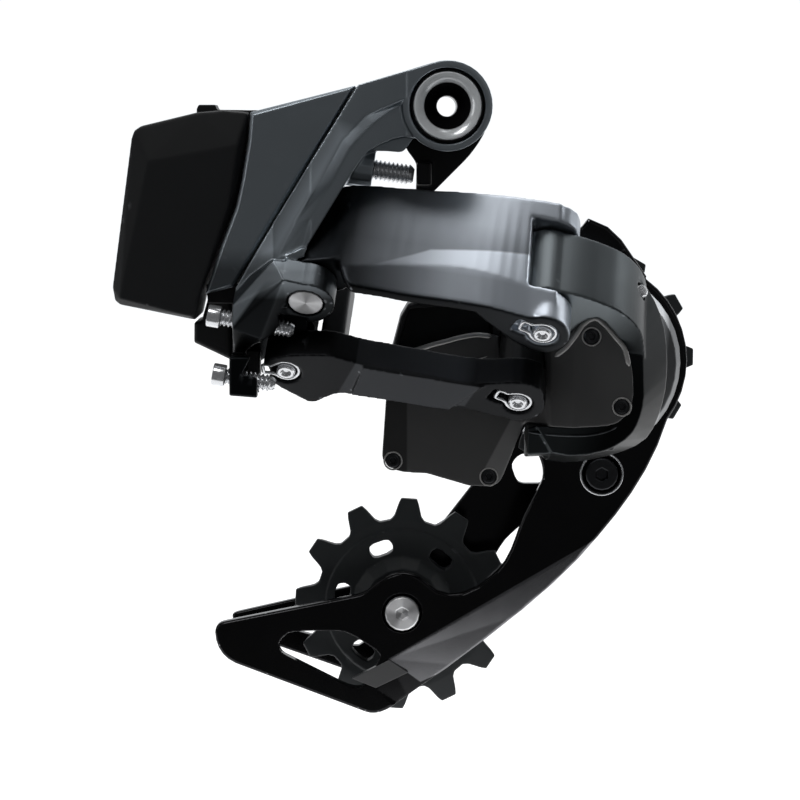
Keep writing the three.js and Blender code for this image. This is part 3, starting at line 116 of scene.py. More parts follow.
def add_world():
    """Bright behind the object and overhead at the back, dim in front, so that gloss stays dark."""
    world = bpy.data.worlds.new("studio")
    world.use_nodes = True
    tree = world.node_tree
    background = tree.nodes["Background"]
    background.inputs["Color"].default_value = (0.96, 0.98, 1, 1)
    place = tree.nodes.new("ShaderNodeTexCoord")
    split = tree.nodes.new("ShaderNodeSeparateXYZ")
    depth = tree.nodes.new("ShaderNodeMapRange")
    tree.links.new(place.outputs["Generated"], split.inputs[0])
    tree.links.new(split.outputs["Y"], depth.inputs["Value"])
    for name, number in WORLD_RAMP:
        depth.inputs[name].default_value = number
    tree.links.new(depth.outputs[0], background.inputs["Strength"])
    bpy.context.scene.world = world


FLOOR_DROP = 45  # the floor lies this far below the lowest point
FLOOR_HALF = 900
FLOOR_SHIFT = 790  # the floor lies mostly behind the object, so that its front faces stay dark
FLOOR_SIDES = 64


def add_floor():
    """A pale round floor under the object."""
    low = CAD_BOX[0][2] / MM - FLOOR_DROP
    mesh = bpy.data.meshes.new("floor")
    turns = [2 * math.pi * step / FLOOR_SIDES for step in range(FLOOR_SIDES)]
    rim = [point(FLOOR_HALF * math.cos(t), FLOOR_SHIFT + FLOOR_HALF * math.sin(t), low) for t in turns]
    mesh.from_pydata(rim, [], [range(FLOOR_SIDES)])
    floor = bpy.data.objects.new("floor", mesh)
    bpy.context.collection.objects.link(floor)
    surface = bpy.data.materials.new("pale_floor")
    surface.use_nodes = True
    shader = surface.node_tree.nodes["Principled BSDF"]
    shader.inputs["Base Color"].default_value = (0.85, 0.855, 0.86, 1)
    shader.inputs["Roughness"].default_value = 0.9
    shader.inputs["Emission Color"].default_value = (1, 1, 1, 1)
    shader.inputs["Emission Strength"].default_value = 0.85
    mesh.materials.append(surface)


add_camera()
add_floor()
add_world()
for light_name, light_setting in LIGHTS.items():
    add_light(light_name, *light_setting)
bpy.context.scene.view_settings.view_transform = "Standard"

# ---------------------------------------------------------------- shapes


def side_axes(direction):
    """Two unit vectors square to a direction: across it, and upwards."""
    turn = Vector(direction).to_track_quat("Y", "Z").to_matrix()
    return turn @ Vector((1, 0, 0)), turn @ Vector((0, 0, 1))


# the linkage's pins: x along the links, y along the pins from their outboard ends
PIN_ORIGIN = (-31.2, -24, -43)
PIN_TILT = math.radians(44)
PIN_YAW = math.radians(-8)
PIN_TURN = Matrix.Rotation(PIN_YAW, 3, "Z") @ Matrix.Rotation(PIN_TILT, 3, "X")
PIN_X, PIN_Y, PIN_Z = (PIN_TURN.col[index].copy() for index in range(3))


def in_pins(x, y, z):
    """A point of the pins' frame, in world millimetres."""
    return Vector(PIN_ORIGIN) + PIN_TURN @ Vector((x, y, z))


def build(name, corners, faces, surface, body, stands_for=(), sharp=35):
    """A closed mesh piece from corners in millimetres, riding on a body."""
    mesh = bpy.data.meshes.new(name)
    mesh.from_pydata([point(*corner) for corner in corners], [], faces)
    shape = bmesh.new()
    shape.from_mesh(mesh)
    bmesh.ops.recalc_face_normals(shape, faces=shape.faces)
    shape.to_mesh(mesh)
    shape.free()
    mesh.shade_smooth()
    mesh.set_sharp_from_angle(angle=math.radians(sharp))
    mesh.materials.append(SURFACES[surface])
    piece = bpy.data.objects.new(name, mesh)
    bpy.context.collection.objects.link(piece)
    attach(piece, body)
    if stands_for:
        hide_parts(*stands_for)
    return piece


def skin(rings, closed_ends=True):
    """Faces joining equal rings of corners, numbered one ring after another."""
    sides = len(rings[0])
    faces = []
    for step in range(len(rings) - 1):
        for side in range(sides):
            after = (side + 1) % sides
            low, high = step * sides, (step + 1) * sides
            faces.append((low + side, low + after, high + after, high + side))
    if closed_ends:
        faces.append(tuple(range(sides)))
        faces.append(tuple(range((len(rings) - 1) * sides, len(rings) * sides)))
    else:
        for side in range(sides):
            after = (side + 1) % sides
            last = (len(rings) - 1) * sides
            faces.append((last + side, last + after, after, side))
    return faces


def prism(name, outline, front, back, surface, body, edge_width):
    """A plate whose outline of (x, z) points runs from one depth to another, with rounded edges."""
    sides = len(outline)
    corners = [(x, y, z) for y in (front, back) for x, z in outline]
    faces = [tuple(range(sides)), tuple(range(2 * sides - 1, sides - 1, -1))]
    faces += [(i, (i + 1) % sides, (i + 1) % sides + sides, i + sides) for i in range(sides)]
    plate = build(name, corners, faces, surface, body)
    edge = plate.modifiers.new("edge", "BEVEL")
    edge.width = edge_width * MM
    edge.segments = 2


PITCH = 0.95  # of every thread, in millimetres
THREAD_DEPTH = 0.42
THREAD_ROOT = 0.36  # how far the root lies inside the shank's radius
STEPS_PER_TURN = 6


def tooth(turns):
    """Height of a thread's section, 0 to 1, by the part of a turn."""
    part = turns % 1
    return min(1, max(0, 1.5 - abs(part - 0.5) * 4))


def plain(profile):
    """Rows of a turned piece with no lobes and no thread, from (distance along, radius) pairs."""
    return [(along, radius, 0, 0) for along, radius in profile]


def turned(name, rows, start, direction, surface, body, stands_for=(), sides=24, bored=False):
    """A lathe-turned piece. Each row is (distance along, radius, lobes, thread depth).

    A bored piece has a hole right through, and its last row joins its first."""
    axis = Vector(direction).normalized()
    across, up = side_axes(direction)
    rings = []
    for along, radius, lobes, depth in rows:
        ring = []
        for side in range(sides):
            angle = 2 * math.pi * side / sides
            reach = radius * (1 + lobes * math.cos(6 * angle))
            reach += depth * tooth(along / PITCH - side / sides)
            outwards = across * math.cos(angle) + up * math.sin(angle)
            ring.append(Vector(start) + axis * along + outwards * reach)
        rings.append(ring)
    corners = [corner for ring in rings for corner in ring]
    return build(name, corners, skin(rings, not bored), surface, body, stands_for)


def circle(centre, radius, sides):
    """Points on a circle that faces the front."""
    x, y, z = centre
    turns = [2 * math.pi * step / sides for step in range(sides)]
    return [Vector((x + radius * math.cos(t), y, z + radius * math.sin(t))) for t in turns]


CURVE_STEPS = 5


def smooth_path(points):
    """A curve through the points, with extra points between each pair."""
    path = [Vector(p) for p in points]
    ends = [path[0] * 2 - path[1]] + path + [path[-1] * 2 - path[-2]]
    curve = []
    for index in range(1, len(ends) - 2):
        a, b, c, d = ends[index - 1:index + 3]
        for step in range(CURVE_STEPS):
            t = step / CURVE_STEPS
            curve.append(0.5 * (2 * b + (c - a) * t + (2 * a - 5 * b + 4 * c - d) * t ** 2
                                + (3 * b - a - 3 * c + d) * t ** 3))
    return curve + [path[-1]]


def tube(name, path, radius, surface, body, stands_for=(), sides=8, loop=False):
    """Round wire or beading along a path, tapered at free ends."""
    rings = []
    count = len(path)
    normal = None
    for index, centre in enumerate(path):
        before = path[index - 1] if index > 0 or loop else centre
        after = path[(index + 1) % count] if index < count - 1 or loop else centre
        along = (after - before).normalized()
        if normal is None:
            normal = side_axes(along)[0]
        normal = (normal - along * normal.dot(along)).normalized()
        other = along.cross(normal)
        thick = radius
        if not loop and index in (0, count - 1):
            thick = radius * 0.3
        turns = [2 * math.pi * side / sides for side in range(sides)]
        rings.append([centre + (normal * math.cos(t) + other * math.sin(t)) * thick for t in turns])
    corners = [corner for ring in rings for corner in ring]
    return build(name, corners, skin(rings, not loop), surface, body, stands_for, 60)


# ---------------------------------------------------------------- materials


class Surface:
    """A Principled material built up from small procedural layers in object coordinates."""

    def __init__(self, name, color, roughness, metallic=0.0):
        self.material = bpy.data.materials.new(name)
        self.material.use_nodes = True
        self.nodes = self.material.node_tree.nodes
        self.links = self.material.node_tree.links
        self.shader = self.nodes["Principled BSDF"]
        self.shader.inputs["Metallic"].default_value = metallic
        self.place = self.nodes.new("ShaderNodeTexCoord").outputs["Object"]
        self.color = self.rgb(color)
        self.roughness = self.value(roughness)
        self.height = None

    def rgb(self, color):
        node = self.nodes.new("ShaderNodeRGB")
        node.outputs[0].default_value = (*color, 1)
        return node.outputs[0]

    def value(self, number):
        node = self.nodes.new("ShaderNodeValue")
        node.outputs[0].default_value = number
        return node.outputs[0]

    def math(self, operation, first, second=0.0, third=None):
        node = self.nodes.new("ShaderNodeMath")
        node.operation = operation
        for socket, given in zip(node.inputs, (first, second, third)):
            if given is None:
                continue
            if isinstance(given, (int, float)):
                socket.default_value = given
            else:
                self.links.new(given, socket)
        return node.outputs[0]

    def noise(self, size, detail=3.0, stretch=(1, 1, 1)):
        """Noise whose features are about size millimetres across."""
        mapping = self.nodes.new("ShaderNodeMapping")
        mapping.inputs["Scale"].default_value = stretch
        self.links.new(self.place, mapping.inputs["Vector"])
        node = self.nodes.new("ShaderNodeTexNoise")
        node.inputs["Scale"].default_value = 1 / (size * MM)
        node.inputs["Detail"].default_value = detail
        self.links.new(mapping.outputs[0], node.inputs["Vector"])
        return node.outputs["Fac"]

    def span(self, source, low, high, start=0.0, end=1.0):
        """Maps low to high onto start to end, clamped."""
        node = self.nodes.new("ShaderNodeMapRange")
        self.links.new(source, node.inputs["Value"])
        for key, number in zip(("From Min", "From Max", "To Min", "To Max"), (low, high, start, end)):
            node.inputs[key].default_value = number
        return node.outputs[0]

    def tint(self, mask, color):
        """Lays another colour over the first where the mask is 1."""
        mix = self.nodes.new("ShaderNodeMix")
        mix.data_type = "RGBA"
        self.links.new(mask, mix.inputs["Factor"])
        self.links.new(self.color, mix.inputs["A"])
        mix.inputs["B"].default_value = (*color, 1)
        self.color = mix.outputs["Result"]
        return self

    def shade(self, mask, low, high):
        """Multiplies the colour by low where the mask is 0 and by high where it is 1."""
        factor = self.span(mask, 0, 1, low, high)
        node = self.nodes.new("ShaderNodeVectorMath")
        node.operation = "SCALE"
        self.links.new(self.color, node.inputs[0])
        self.links.new(factor, node.inputs["Scale"])
        self.color = node.outputs[0]
        return self

    def roughen(self, mask, amount):
        self.roughness = self.math("MULTIPLY_ADD", mask, amount, self.roughness)
        return self

    def relief(self, source, depth):
        """Adds a bump of depth micrometres."""
        scaled = self.math("MULTIPLY", source, depth * 1e-6)
        self.height = scaled if self.height is None else self.math("ADD", self.height, scaled)
        return self

    def edges(self, start=0.53, end=0.62):
        """1 on outward edges of a finely divided mesh, 0 on its flats."""
        node = self.nodes.new("ShaderNodeNewGeometry")
        return self.span(node.outputs["Pointiness"], start, end)

    def axis(self, direction, origin=(0, 0, 0)):
        """The distance in millimetres from the origin along a direction."""
        shift = self.nodes.new("ShaderNodeVectorMath")
        shift.operation = "SUBTRACT"
        self.links.new(self.place, shift.inputs[0])
        shift.inputs[1].default_value = point(*origin)
        along = self.nodes.new("ShaderNodeVectorMath")
        along.operation = "DOT_PRODUCT"
        self.links.new(shift.outputs[0], along.inputs[0])
        along.inputs[1].default_value = Vector(direction).normalized() / MM
        return along.outputs["Value"]

    def set(self, **inputs):
        for name, number in inputs.items():
            self.shader.inputs[name.replace("_", " ")].default_value = number
        return self

    def done(self):
        self.links.new(self.color, self.shader.inputs["Base Color"])
        self.links.new(self.roughness, self.shader.inputs["Roughness"])
        if self.height is not None:
            bump = self.nodes.new("ShaderNodeBump")
            bump.inputs["Strength"].default_value = 1
            bump.inputs["Distance"].default_value = 1
            self.links.new(self.height, bump.inputs["Height"])
            self.links.new(bump.outputs[0], self.shader.inputs["Normal"])
        return self.material


def anodised(name, color, roughness=0.34, zones=()):
    """Bead-blasted, anodised aluminium: fine grain, faint clouding and brighter, rubbed edges.

    Each zone is (mask, low, high): a change of tone that runs across the part, mostly painted light and
    shade."""
    s = Surface(name, color, roughness, metallic=1)
    for zone, low, high in zones:
        s.shade(zone(s), low, high)
    s.shade(s.noise(16, 1), 0.95, 1.05)
    s.roughen(s.noise(4), 0.05)
    s.tint(s.math("MULTIPLY", s.edges(), s.span(s.noise(2.5), 0.35, 0.75, 0.05, 0.3)), (0.4, 0.42, 0.45))
    s.relief(s.noise(0.18, 2), 3)
    return s.done()


def black_metal(name, zones=()):
    """Gloss black anodising: almost no colour of its own, and reflections on every edge, partly painted as a
    light edge tint.
    """
    s = Surface(name, (0.022, 0.022, 0.023), 0.17, metallic=1)
    for zone, low, high in zones:
        s.shade(zone(s), low, high)
    s.shade(s.noise(12), 0.85, 1.15)
    s.roughen(s.noise(6, 1), 0.04)
    # Painted highlight: light grey laid on every outward edge, standing in for edge reflections.
    s.tint(s.math("MULTIPLY", s.edges(0.6, 0.7), 0.7), (0.5, 0.51, 0.53))
    return s.done()


def steel(name, color=(0.72, 0.73, 0.75), roughness=0.16, metallic=0.75):
    """Turned and polished steel."""
    s = Surface(name, color, roughness, metallic)
    s.shade(s.noise(1.4, 4), 0.86, 1.06)
    s.roughen(s.noise(0.7, 4), 0.1)
    s.relief(s.noise(0.12, 2, (1, 6, 1)), 2)
    return s.done()


def faced_steel(name, centre, direction, bright, turn=0.6):
    """Steel faced on a lathe, with a painted reflection: bright and dark fans round the centre of the face
    in broad rays.
    """
    s = Surface(name, (bright, bright, bright * 1.02), 0.3, metallic=0.6)
    across, up = side_axes(direction)
    angle = s.math("ARCTAN2", s.axis(up, centre), s.axis(across, centre))
    # Painted reflection: two broad bright wedges, set round the face by turn, and finer rays after them.
    glint_fan = s.math("COSINE", s.math("MULTIPLY_ADD", angle, 2, turn))
    s.shade(s.span(glint_fan, -1, 1), 0.45, 1.25)
    s.shade(s.span(s.math("COSINE", s.math("MULTIPLY", angle, 7)), -1, 1), 0.9, 1.1)
    s.shade(s.noise(0.8, 3), 0.9, 1.1)
    s.relief(s.noise(0.1, 2), 2)
    return s.done()


MOUTH_RADIUS = 5.3  # of the hollow bolt, where the painted shade of the funnel meets the bright chamfer


def hollow_bolt(name):
    """Bright on the chamfer of its head, with painted shade making it near black inside the mouth."""
    s = Surface(name, (0.9, 0.93, 0.95), 0.22, metallic=0.25)
    across = s.math("POWER", s.axis((1, 0, 0)), 2)
    radius = s.math("SQRT", s.math("ADD", across, s.math("POWER", s.axis((0, 0, 1)), 2)))
    # painted shade: near black inside the mouth, within MOUTH_RADIUS
    s.tint(s.span(radius, MOUTH_RADIUS, MOUTH_RADIUS - 0.2), (0.006, 0.006, 0.007))
    s.shade(s.noise(1.4, 4), 0.86, 1.06)
    s.relief(s.noise(0.12, 2, (1, 6, 1)), 2)
    return s.done()


def plastic(name, color, roughness, grain=6.0, level=0.3, edge=0.25, zones=()):
    """Moulded plastic with a fine spark-eroded grain."""
    s = Surface(name, color, roughness)
    for zone, low, high in zones:
        s.shade(zone(s), low, high)
    s.shade(s.noise(14), 0.9, 1.1)
    s.roughen(s.noise(2.2, 4), 0.08)
    s.tint(s.math("MULTIPLY", s.edges(0.56, 0.66), edge), (0.14, 0.145, 0.155))
    s.relief(s.noise(0.22, 2), grain)
    s.set(Specular_IOR_Level=level)
    return s.done()


def bronze(name):
    s = Surface(name, (0.6, 0.42, 0.2), 0.32, metallic=1)
    s.shade(s.noise(2), 0.75, 1.1)
    s.relief(s.noise(0.2), 6)
    return s.done()


def sleeve(name):
    """The printed film round a cell."""
    s = Surface(name, (0.05, 0.14, 0.3), 0.35)
    s.shade(s.noise(5), 0.8, 1.15)
    s.relief(s.noise(1.2), 15)
    return s.done()


def board(name):
    s = Surface(name, (0.01, 0.12, 0.05), 0.3)
    s.tint(s.span(s.noise(1.5, 0), 0.56, 0.58), (0.5, 0.36, 0.1))
    s.relief(s.noise(0.6), 10)
    return s.done()


def ramp(direction, start, end, origin=(0, 0, 0)):
    """A zone that goes from 0 to 1 between two distances along a direction, in millimetres."""
    return lambda s: s.span(s.axis(direction, origin), start, end)


def inside(corners, across, up, origin=(0, 0, 0), soft=0.2):
    """A zone that is 1 inside a convex outline, given anticlockwise in the plane of across and up."""

    def mask(s):
        x = s.axis(across, origin)
        y = s.axis(up, origin)
        nearest = None
        for (ax, ay), (bx, by) in zip(corners, corners[1:] + corners[:1]):
            length = math.hypot(bx - ax, by - ay)
            nx, ny = (ay - by) / length, (bx - ax) / length
            side = s.math("MULTIPLY_ADD", x, nx, s.math("MULTIPLY_ADD", y, ny, -ax * nx - ay * ny))
            nearest = side if nearest is None else s.math("MINIMUM", nearest, side)
        return s.span(nearest, -soft, soft)

    return mask


def front_flank(s):
    """The link's lower flank: bounded by a line that rises towards the front, faint at the rear."""
    along = s.axis(PIN_X, PIN_ORIGIN)
    depth = s.axis(PIN_Y, PIN_ORIGIN)
    steep = s.math("MULTIPLY_ADD", along, 0.57, -2.4)
    shallow = s.math("MULTIPLY_ADD", along, 0.155, 8.7)
    border = s.math("MINIMUM", steep, shallow)
    within = s.span(s.math("SUBTRACT", border, depth), -0.3, 0.3)
    off_face = s.span(depth, 0.2, 0.6)
    return s.math("MULTIPLY", s.math("MULTIPLY", within, off_face), s.span(along, 12, 32))


def lower_facet(s):
    """Painted shade on the narrow facet along the link's outboard edge, a little darker towards the front.
    """
    facet = s.span(s.axis(PIN_Y, PIN_ORIGIN), 9, 7)
    return s.math("MULTIPLY", facet, s.span(s.axis(PIN_X, PIN_ORIGIN), 12, 26))


def knuckle_shadow(s):
    """Painted shade: darkens the lower part of the rear knuckle, under the lit flank of the arm."""
    under = s.span(s.axis((0, 0, -1)), 48, 49)
    beside = s.span(s.axis((0.806, 0, -0.592), (-39, 0, -36.2)), 0, 0.8)
    low = s.span(s.axis((0, 0, -1)), 37.5, 42)
    return s.math("MAXIMUM", under, s.math("MULTIPLY", beside, low))


RIGHT = (1, 0, 0)
UPWARDS = (0, 0, 1)
# painted highlight: the lighter, differently tilted facet on the inner link
INNER_LIT_PANEL = [(10.8, -12), (5, -23.6), (33.5, -27.3), (37.4, -19.8)]
# painted highlight: the lit, sloping lower band of the outer cage plate
CAGE_LIT_BAND = [(60, -87.8), (-13.2, -131), (-5.6, -136.9), (9.8, -129.8), (60, -106)]
# painted highlight: the lit band along the arm between the seam and the step line
ARM_HIGHLIGHT_BAND = [(-37.1, -33.2), (-20.8, -5.6), (-24, -4.3), (-40.5, -32.1)]
# painted highlight: a lit facet of the motor cover
COVER_LIT_FACET = [(14.9, -71.4), (8.1, -84.4), (12.6, -87), (19.1, -72.1)]
# painted shade: the left side of the motor cover
COVER_SHADED_SIDE = [(-8.9, -66), (-20, -66), (-20, -90), (-8.9, -90)]

# Link zones: a lighter lower flank, painted shade on the rear part and on the lug's front face, painted
# light on the inboard part, and painted shade on the narrow outboard facet.
LINK_ZONES = (
    (front_flank, 1, 2.8),
    (ramp(PIN_X, 10, 44, PIN_ORIGIN), 0.13, 1.6),
    (ramp(PIN_Y, 0.1, 0.5, PIN_ORIGIN), 0.06, 1),
    (ramp(PIN_Y, 14, 22, PIN_ORIGIN), 1, 1.5),
    (lower_facet, 1, 0.75),
)
# Arm zones: painted shade on the lower knuckle, a painted highlight band along the arm, and painted shade on
# the lower arm.
ARM_ZONES = (
    (knuckle_shadow, 1, 0.08),
    (inside(ARM_HIGHLIGHT_BAND, RIGHT, UPWARDS, soft=1.6), 1, 2),
    # painted shade: darker towards the bottom of the arm
    (ramp((0, 0, -1), 31, 36), 1, 0.4),
)
# Shell: painted shade, darker towards the bottom and towards the right.
SHELL_ZONES = (
    (ramp((0.25, 0, -1), 46, 74), 1, 0.3),
    (ramp((1, 0, -0.3), 47, 56), 1, 0.2),
)
# Damper: painted shade on its right edge.
DAMPER_ZONES = (
    (ramp((1, 0, -0.1), 55.2, 57.2), 1, 0.2),
)
# Inner link: painted highlight on its lit panel.
INNER_ZONES = (
    (inside(INNER_LIT_PANEL, PIN_X, PIN_Z, PIN_ORIGIN), 1, 2.8),
)
# Outer cage plate: painted highlight on its sloping lower band, in its own copy of the cage material.
CAGE_ZONES = (
    (inside(CAGE_LIT_BAND, RIGHT, UPWARDS, soft=0.1), 1, 8),
)
# Cover: painted highlight on its lit facet, painted shade on its left side.
COVER_ZONES = (
    (inside(COVER_LIT_FACET, RIGHT, UPWARDS), 1, 2.4),
    (inside(COVER_SHADED_SIDE, RIGHT, UPWARDS), 1, 0.35),
)

SURFACES = {
    "anodised": anodised("anodised", (0.31, 0.345, 0.375), zones=ARM_ZONES),
    "shell_casting": anodised("shell_casting", (0.13, 0.145, 0.153), zones=SHELL_ZONES),
    "damper_casting": anodised("damper_casting", (0.75, 0.77, 0.79), 0.38, DAMPER_ZONES),
    "link_anodised": anodised("link_anodised", (0.172, 0.186, 0.205), zones=LINK_ZONES),
    "inner_anodised": anodised("inner_anodised", (0.012, 0.0125, 0.0135), 0.42, INNER_ZONES),
    "cage": black_metal("cage"),
    "cage_front": black_metal("cage_front", zones=CAGE_ZONES),
    "cage_wedge": plastic("cage_wedge", (0.07, 0.07, 0.072), 0.3, 0.5, 0.6, 0),
    "steel": steel("steel"),
    "hollow_bolt": hollow_bolt("hollow_bolt"),
    "rear_pin_face": faced_steel("rear_pin_face", PIN_ORIGIN, PIN_Y, 0.33),
    "pulley_bolt_face": faced_steel("pulley_bolt_face", (-10, 9, -119.9), (0, 1, 0), 0.95, 2.2),
    "dark_steel": steel("dark_steel", (0.04, 0.041, 0.044), 0.26, 1),
    "stop_plate": plastic("stop_plate", (0.004, 0.004, 0.005), 0.4, 4, 0.2),
    "shell": plastic("shell", (0.009, 0.0092, 0.01), 0.42),
    "battery": plastic("battery", (0.013, 0.0137, 0.0148), 0.5, 6, 0.2, 0.35),
    "cover": plastic("cover", (0.06, 0.06, 0.0605), 0.33, 2, zones=COVER_ZONES),
    # Painted highlight: light grey beads along the cover's lips, crease, stud and screw rims.
    "painted_highlight_bead": plastic("painted_highlight_bead", (0.3, 0.295, 0.29), 0.14, 1, 1, 0),
    "pulley": plastic("pulley", (0.024, 0.027, 0.029), 0.4, 3),
    "bushing": bronze("bushing"),
    "bearing": steel("bearing", (0.6, 0.61, 0.63), 0.2),
    "cell": sleeve("cell"),
    "contacts": bronze("contacts"),
    "board": board("board"),
    "gear": steel("gear", (0.42, 0.43, 0.45), 0.3),
    "motor": steel("motor", (0.35, 0.36, 0.38), 0.3),
    "spring": steel("spring", (0.25, 0.26, 0.28), 0.3),
}

# nodes that differ from the rest of their material's nodes
OWN_SURFACES = {
    "p_knuckle": "shell_casting",
    "damper_housing": "damper_casting",
    "outer_rear_pin": "rear_pin_face",
    "lower_pulley_bolt": "pulley_bolt_face",
    "outer_cage_plate": "cage_front",
}

# ---------------------------------------------------------------- finished surfaces on CAD nodes


def dress_nodes():
    for part in frame["record"]["subparts"]:
        node = NODES[part["node"]]
        surface = SURFACES[OWN_SURFACES.get(part["node"], part["material_slot"])]
        for slot in node.material_slots:
            slot.material = surface


def cast(name, voxel=0.3, rounds=6, keep=0.35):
    """Rounds every edge of a CAD node, as a casting or moulding has them.

    voxel is in millimetres, rounds of smoothing follow, and keep is the share of faces that stays."""
    node = NODES[name]
    weld = node.modifiers.new("weld", "WELD")
    weld.merge_threshold = 0.01 * MM
    remesh = node.modifiers.new("remesh", "REMESH")
    remesh.mode = "VOXEL"
    remesh.voxel_size = voxel * MM
    remesh.use_smooth_shade = True
    smooth = node.modifiers.new("smooth", "SMOOTH")
    smooth.factor = 0.5
    smooth.iterations = rounds
    reduce = node.modifiers.new("reduce", "DECIMATE")
    reduce.ratio = keep


CASTINGS = (
    "inner_link", "p_knuckle", "gearbox_housing", "motor_cover", "battery_case", "damper_housing",
    "hanger_stop_plate", "dock_foot",
)
CLOSE_FITTING = ("b_knuckle", "battery_dock")
THIN = ("outer_cage_plate", "inner_cage_plate", "battery_latch", "upper_pulley", "lower_pulley")
ENCLOSED = (
    "battery_cell_1", "battery_cell_2", "b_bushing", "cage_spindle", "cage_spring", "shift_motor",
    "reduction_gear", "circuit_board",
)


def cast_all():
    """Softest on the swept link, sharper on thin plates and small parts. ENCLOSED nodes stay plain."""
    for name in NODES:
        if name == "outer_link":
            cast(name, rounds=26)
        elif name in CASTINGS:
            cast(name)
        elif name in CLOSE_FITTING:
            cast(name, 0.24, 4)
        elif name in THIN:
            cast(name, 0.22, 4, 0.3)
            NODES[name].modifiers.new("flatten", "WEIGHTED_NORMAL")
        elif name not in ENCLOSED:
            cast(name, 0.14, 3, 0.3)


# ---------------------------------------------------------------- fittings


def threaded_screw(name, start, direction, head, key, shank, length, body, node):
    """A set screw with a six-lobed key and a real thread.

    head is (radius, height) and key is (radius, depth)."""
    root = shank - THREAD_ROOT
    rows = [
        (key[1], 0.05, 0, 0),
        (key[1], key[0] * 0.85, 0.12, 0),
        (0.15, key[0] * 0.95, 0.12, 0),
        (0, key[0] * 1.1, 0, 0),
        (0, head[0] - 0.35, 0, 0),
        (0.1, head[0] - 0.12, 0, 0),
        (0.35, head[0], 0, 0),
        (head[1] - 0.2, head[0], 0, 0),
        (head[1], head[0] - 0.2, 0, 0),
        (head[1] + 0.02, shank - 0.3, 0, 0),
    ]
    steps = int((length - head[1] - 0.8) / (PITCH / STEPS_PER_TURN))
    for step in range(1, steps):
        rows.append((head[1] + step * PITCH / STEPS_PER_TURN, root, 0, THREAD_DEPTH))
    rows += [(length - 0.5, root, 0, 0), (length, shank - 0.8, 0, 0), (length, 0.05, 0, 0)]
    screw = turned(name, rows, start, direction, "steel", body, (node,), 20)


def adjusting_screws():
    axis = Vector((0.989, 0, -0.15)).normalized()
    tip = Vector((-7.4, -5, -15.5))
    length = 18
    threaded_screw("angle_screw_thread", tip - axis * length, axis, head=(2.1, 0.6), key=(1.1, 2),
                   shank=2.25, length=length, body="angle_screw", node="b_adjust_screw")
    axis = (0.985, 0, -0.17)
    sizes = {"head": (2.5, 3), "key": (1.3, 1.6), "shank": 1.85}
    threaded_screw("high_limit_thread", (-53.2, -18, -46), axis, length=19.5,
                   body="high_limit_screw", node="upper_limit_screw", **sizes)
    threaded_screw("low_limit_thread", (-52.3, -17, -59.2), axis, length=14.2,
                   body="low_limit_screw", node="lower_limit_screw", **sizes)


def spring_clip(name, pin, depth, turn, body, node):
    """A wire clip round a pin's head, bent out into a square ear on one side."""
    wire = 0.42
    ring = 2.95
    half_ear = [(3.3, 1.3), (4.2, 1.45), (4.9, 1.4), (5.2, 1.1)]
    ear = [(x, -z) for x, z in half_ear] + half_ear[::-1]
    turns = [math.radians(degrees) for degrees in range(38, 323, 15)]
    bends = [(ring * math.cos(t), ring * math.sin(t)) for t in turns]
    flat = bends + ear
    angle = math.radians(turn)
    path = []
    for x, z in flat:
        across = x * math.cos(angle) - z * math.sin(angle)
        up = x * math.sin(angle) + z * math.cos(angle)
        path.append(in_pins(pin[0] + across, depth, pin[1] + up))
    clip = tube(name, path, wire, "steel", body, (node,), 8, True)


def hanger_bolt():
    """A hollow bolt: bright conical chamfer, funnel darkened by painted shade and a round hole to the far
    end.
    """
    mouth = [(8, 2.3), (-9, 2.3), (-11, 3), (-13.6, 5), (-14.2, MOUTH_RADIUS), (-15.3, 7.1)]
    head = [(-15.3, 7.3), (-14.9, 7.5), (-13.1, 7.5), (-13.1, 4.9), (-2.4, 4.9)]
    rows = plain(mouth + head)
    thread_start = -2
    thread_length = 9
    steps_per_turn = 5
    for step in range(int(thread_length / (PITCH / steps_per_turn))):
        rows.append((thread_start + step * PITCH / steps_per_turn, 4.5, 0, 0.4))
    rows += plain([(7.2, 4.6), (8, 4)])
    bolt = turned("hanger_bolt_thread", rows, (0, 0, 0), (0, 1, 0), "hollow_bolt", "hanger_mount",
                  ("hanger_bolt",), 48, True)


def stop_bolt_ring():
    """The bright rim of the counterbore round the cage's stop bolt."""
    rim = circle((37.3, 10.9, -86.2), 5, 40)
    ring = tube("stop_bolt_rim", rim, 0.25, "steel", "cage", (), 8, True)


def cage_wedge():
    """The raised wedge that ends the sloping band at the cage's tail."""
    outline = [(-13, -131.2), (-8.5, -134.3), (-16.3, -138.1), (-22, -135.8)]
    prism("cage_tail_wedge", outline, 10.72, 12.4, "cage_wedge", "cage", 0.15)


def shade_blocks():
    """Near-black blocks that fill the gaps under the dock and behind the lower limit screw: painted shade
    standing in for the dark gaps.
    """
    dock = [(-54, -39.6), (-46.4, -39.6), (-46.4, -44), (-53.6, -44)]
    knuckle = [(-47, -54.6), (-42, -54.6), (-42, -60.6), (-46.4, -60.6)]
    prism("dock_shade_block", dock, -12, -8, "stop_plate", "upper_knuckle", 0.4)
    prism("knuckle_shade_block", knuckle, -11.5, -7, "stop_plate", "upper_knuckle", 0.4)


def pin_nose(name, pin, depth, body):
    """The pin's end inside its clip: a bright dished button."""
    rows = [(0.75, 0.05), (0.7, 0.6), (0.2, 1.0), (-0.1, 1.25), (-0.1, 1.75), (0.1, 1.98), (0.5, 2.15),
            (1.4, 2.2), (1.4, 0.05)]
    nose = turned(name, plain(rows), in_pins(pin[0], depth, pin[1]), PIN_Y, "steel", body)


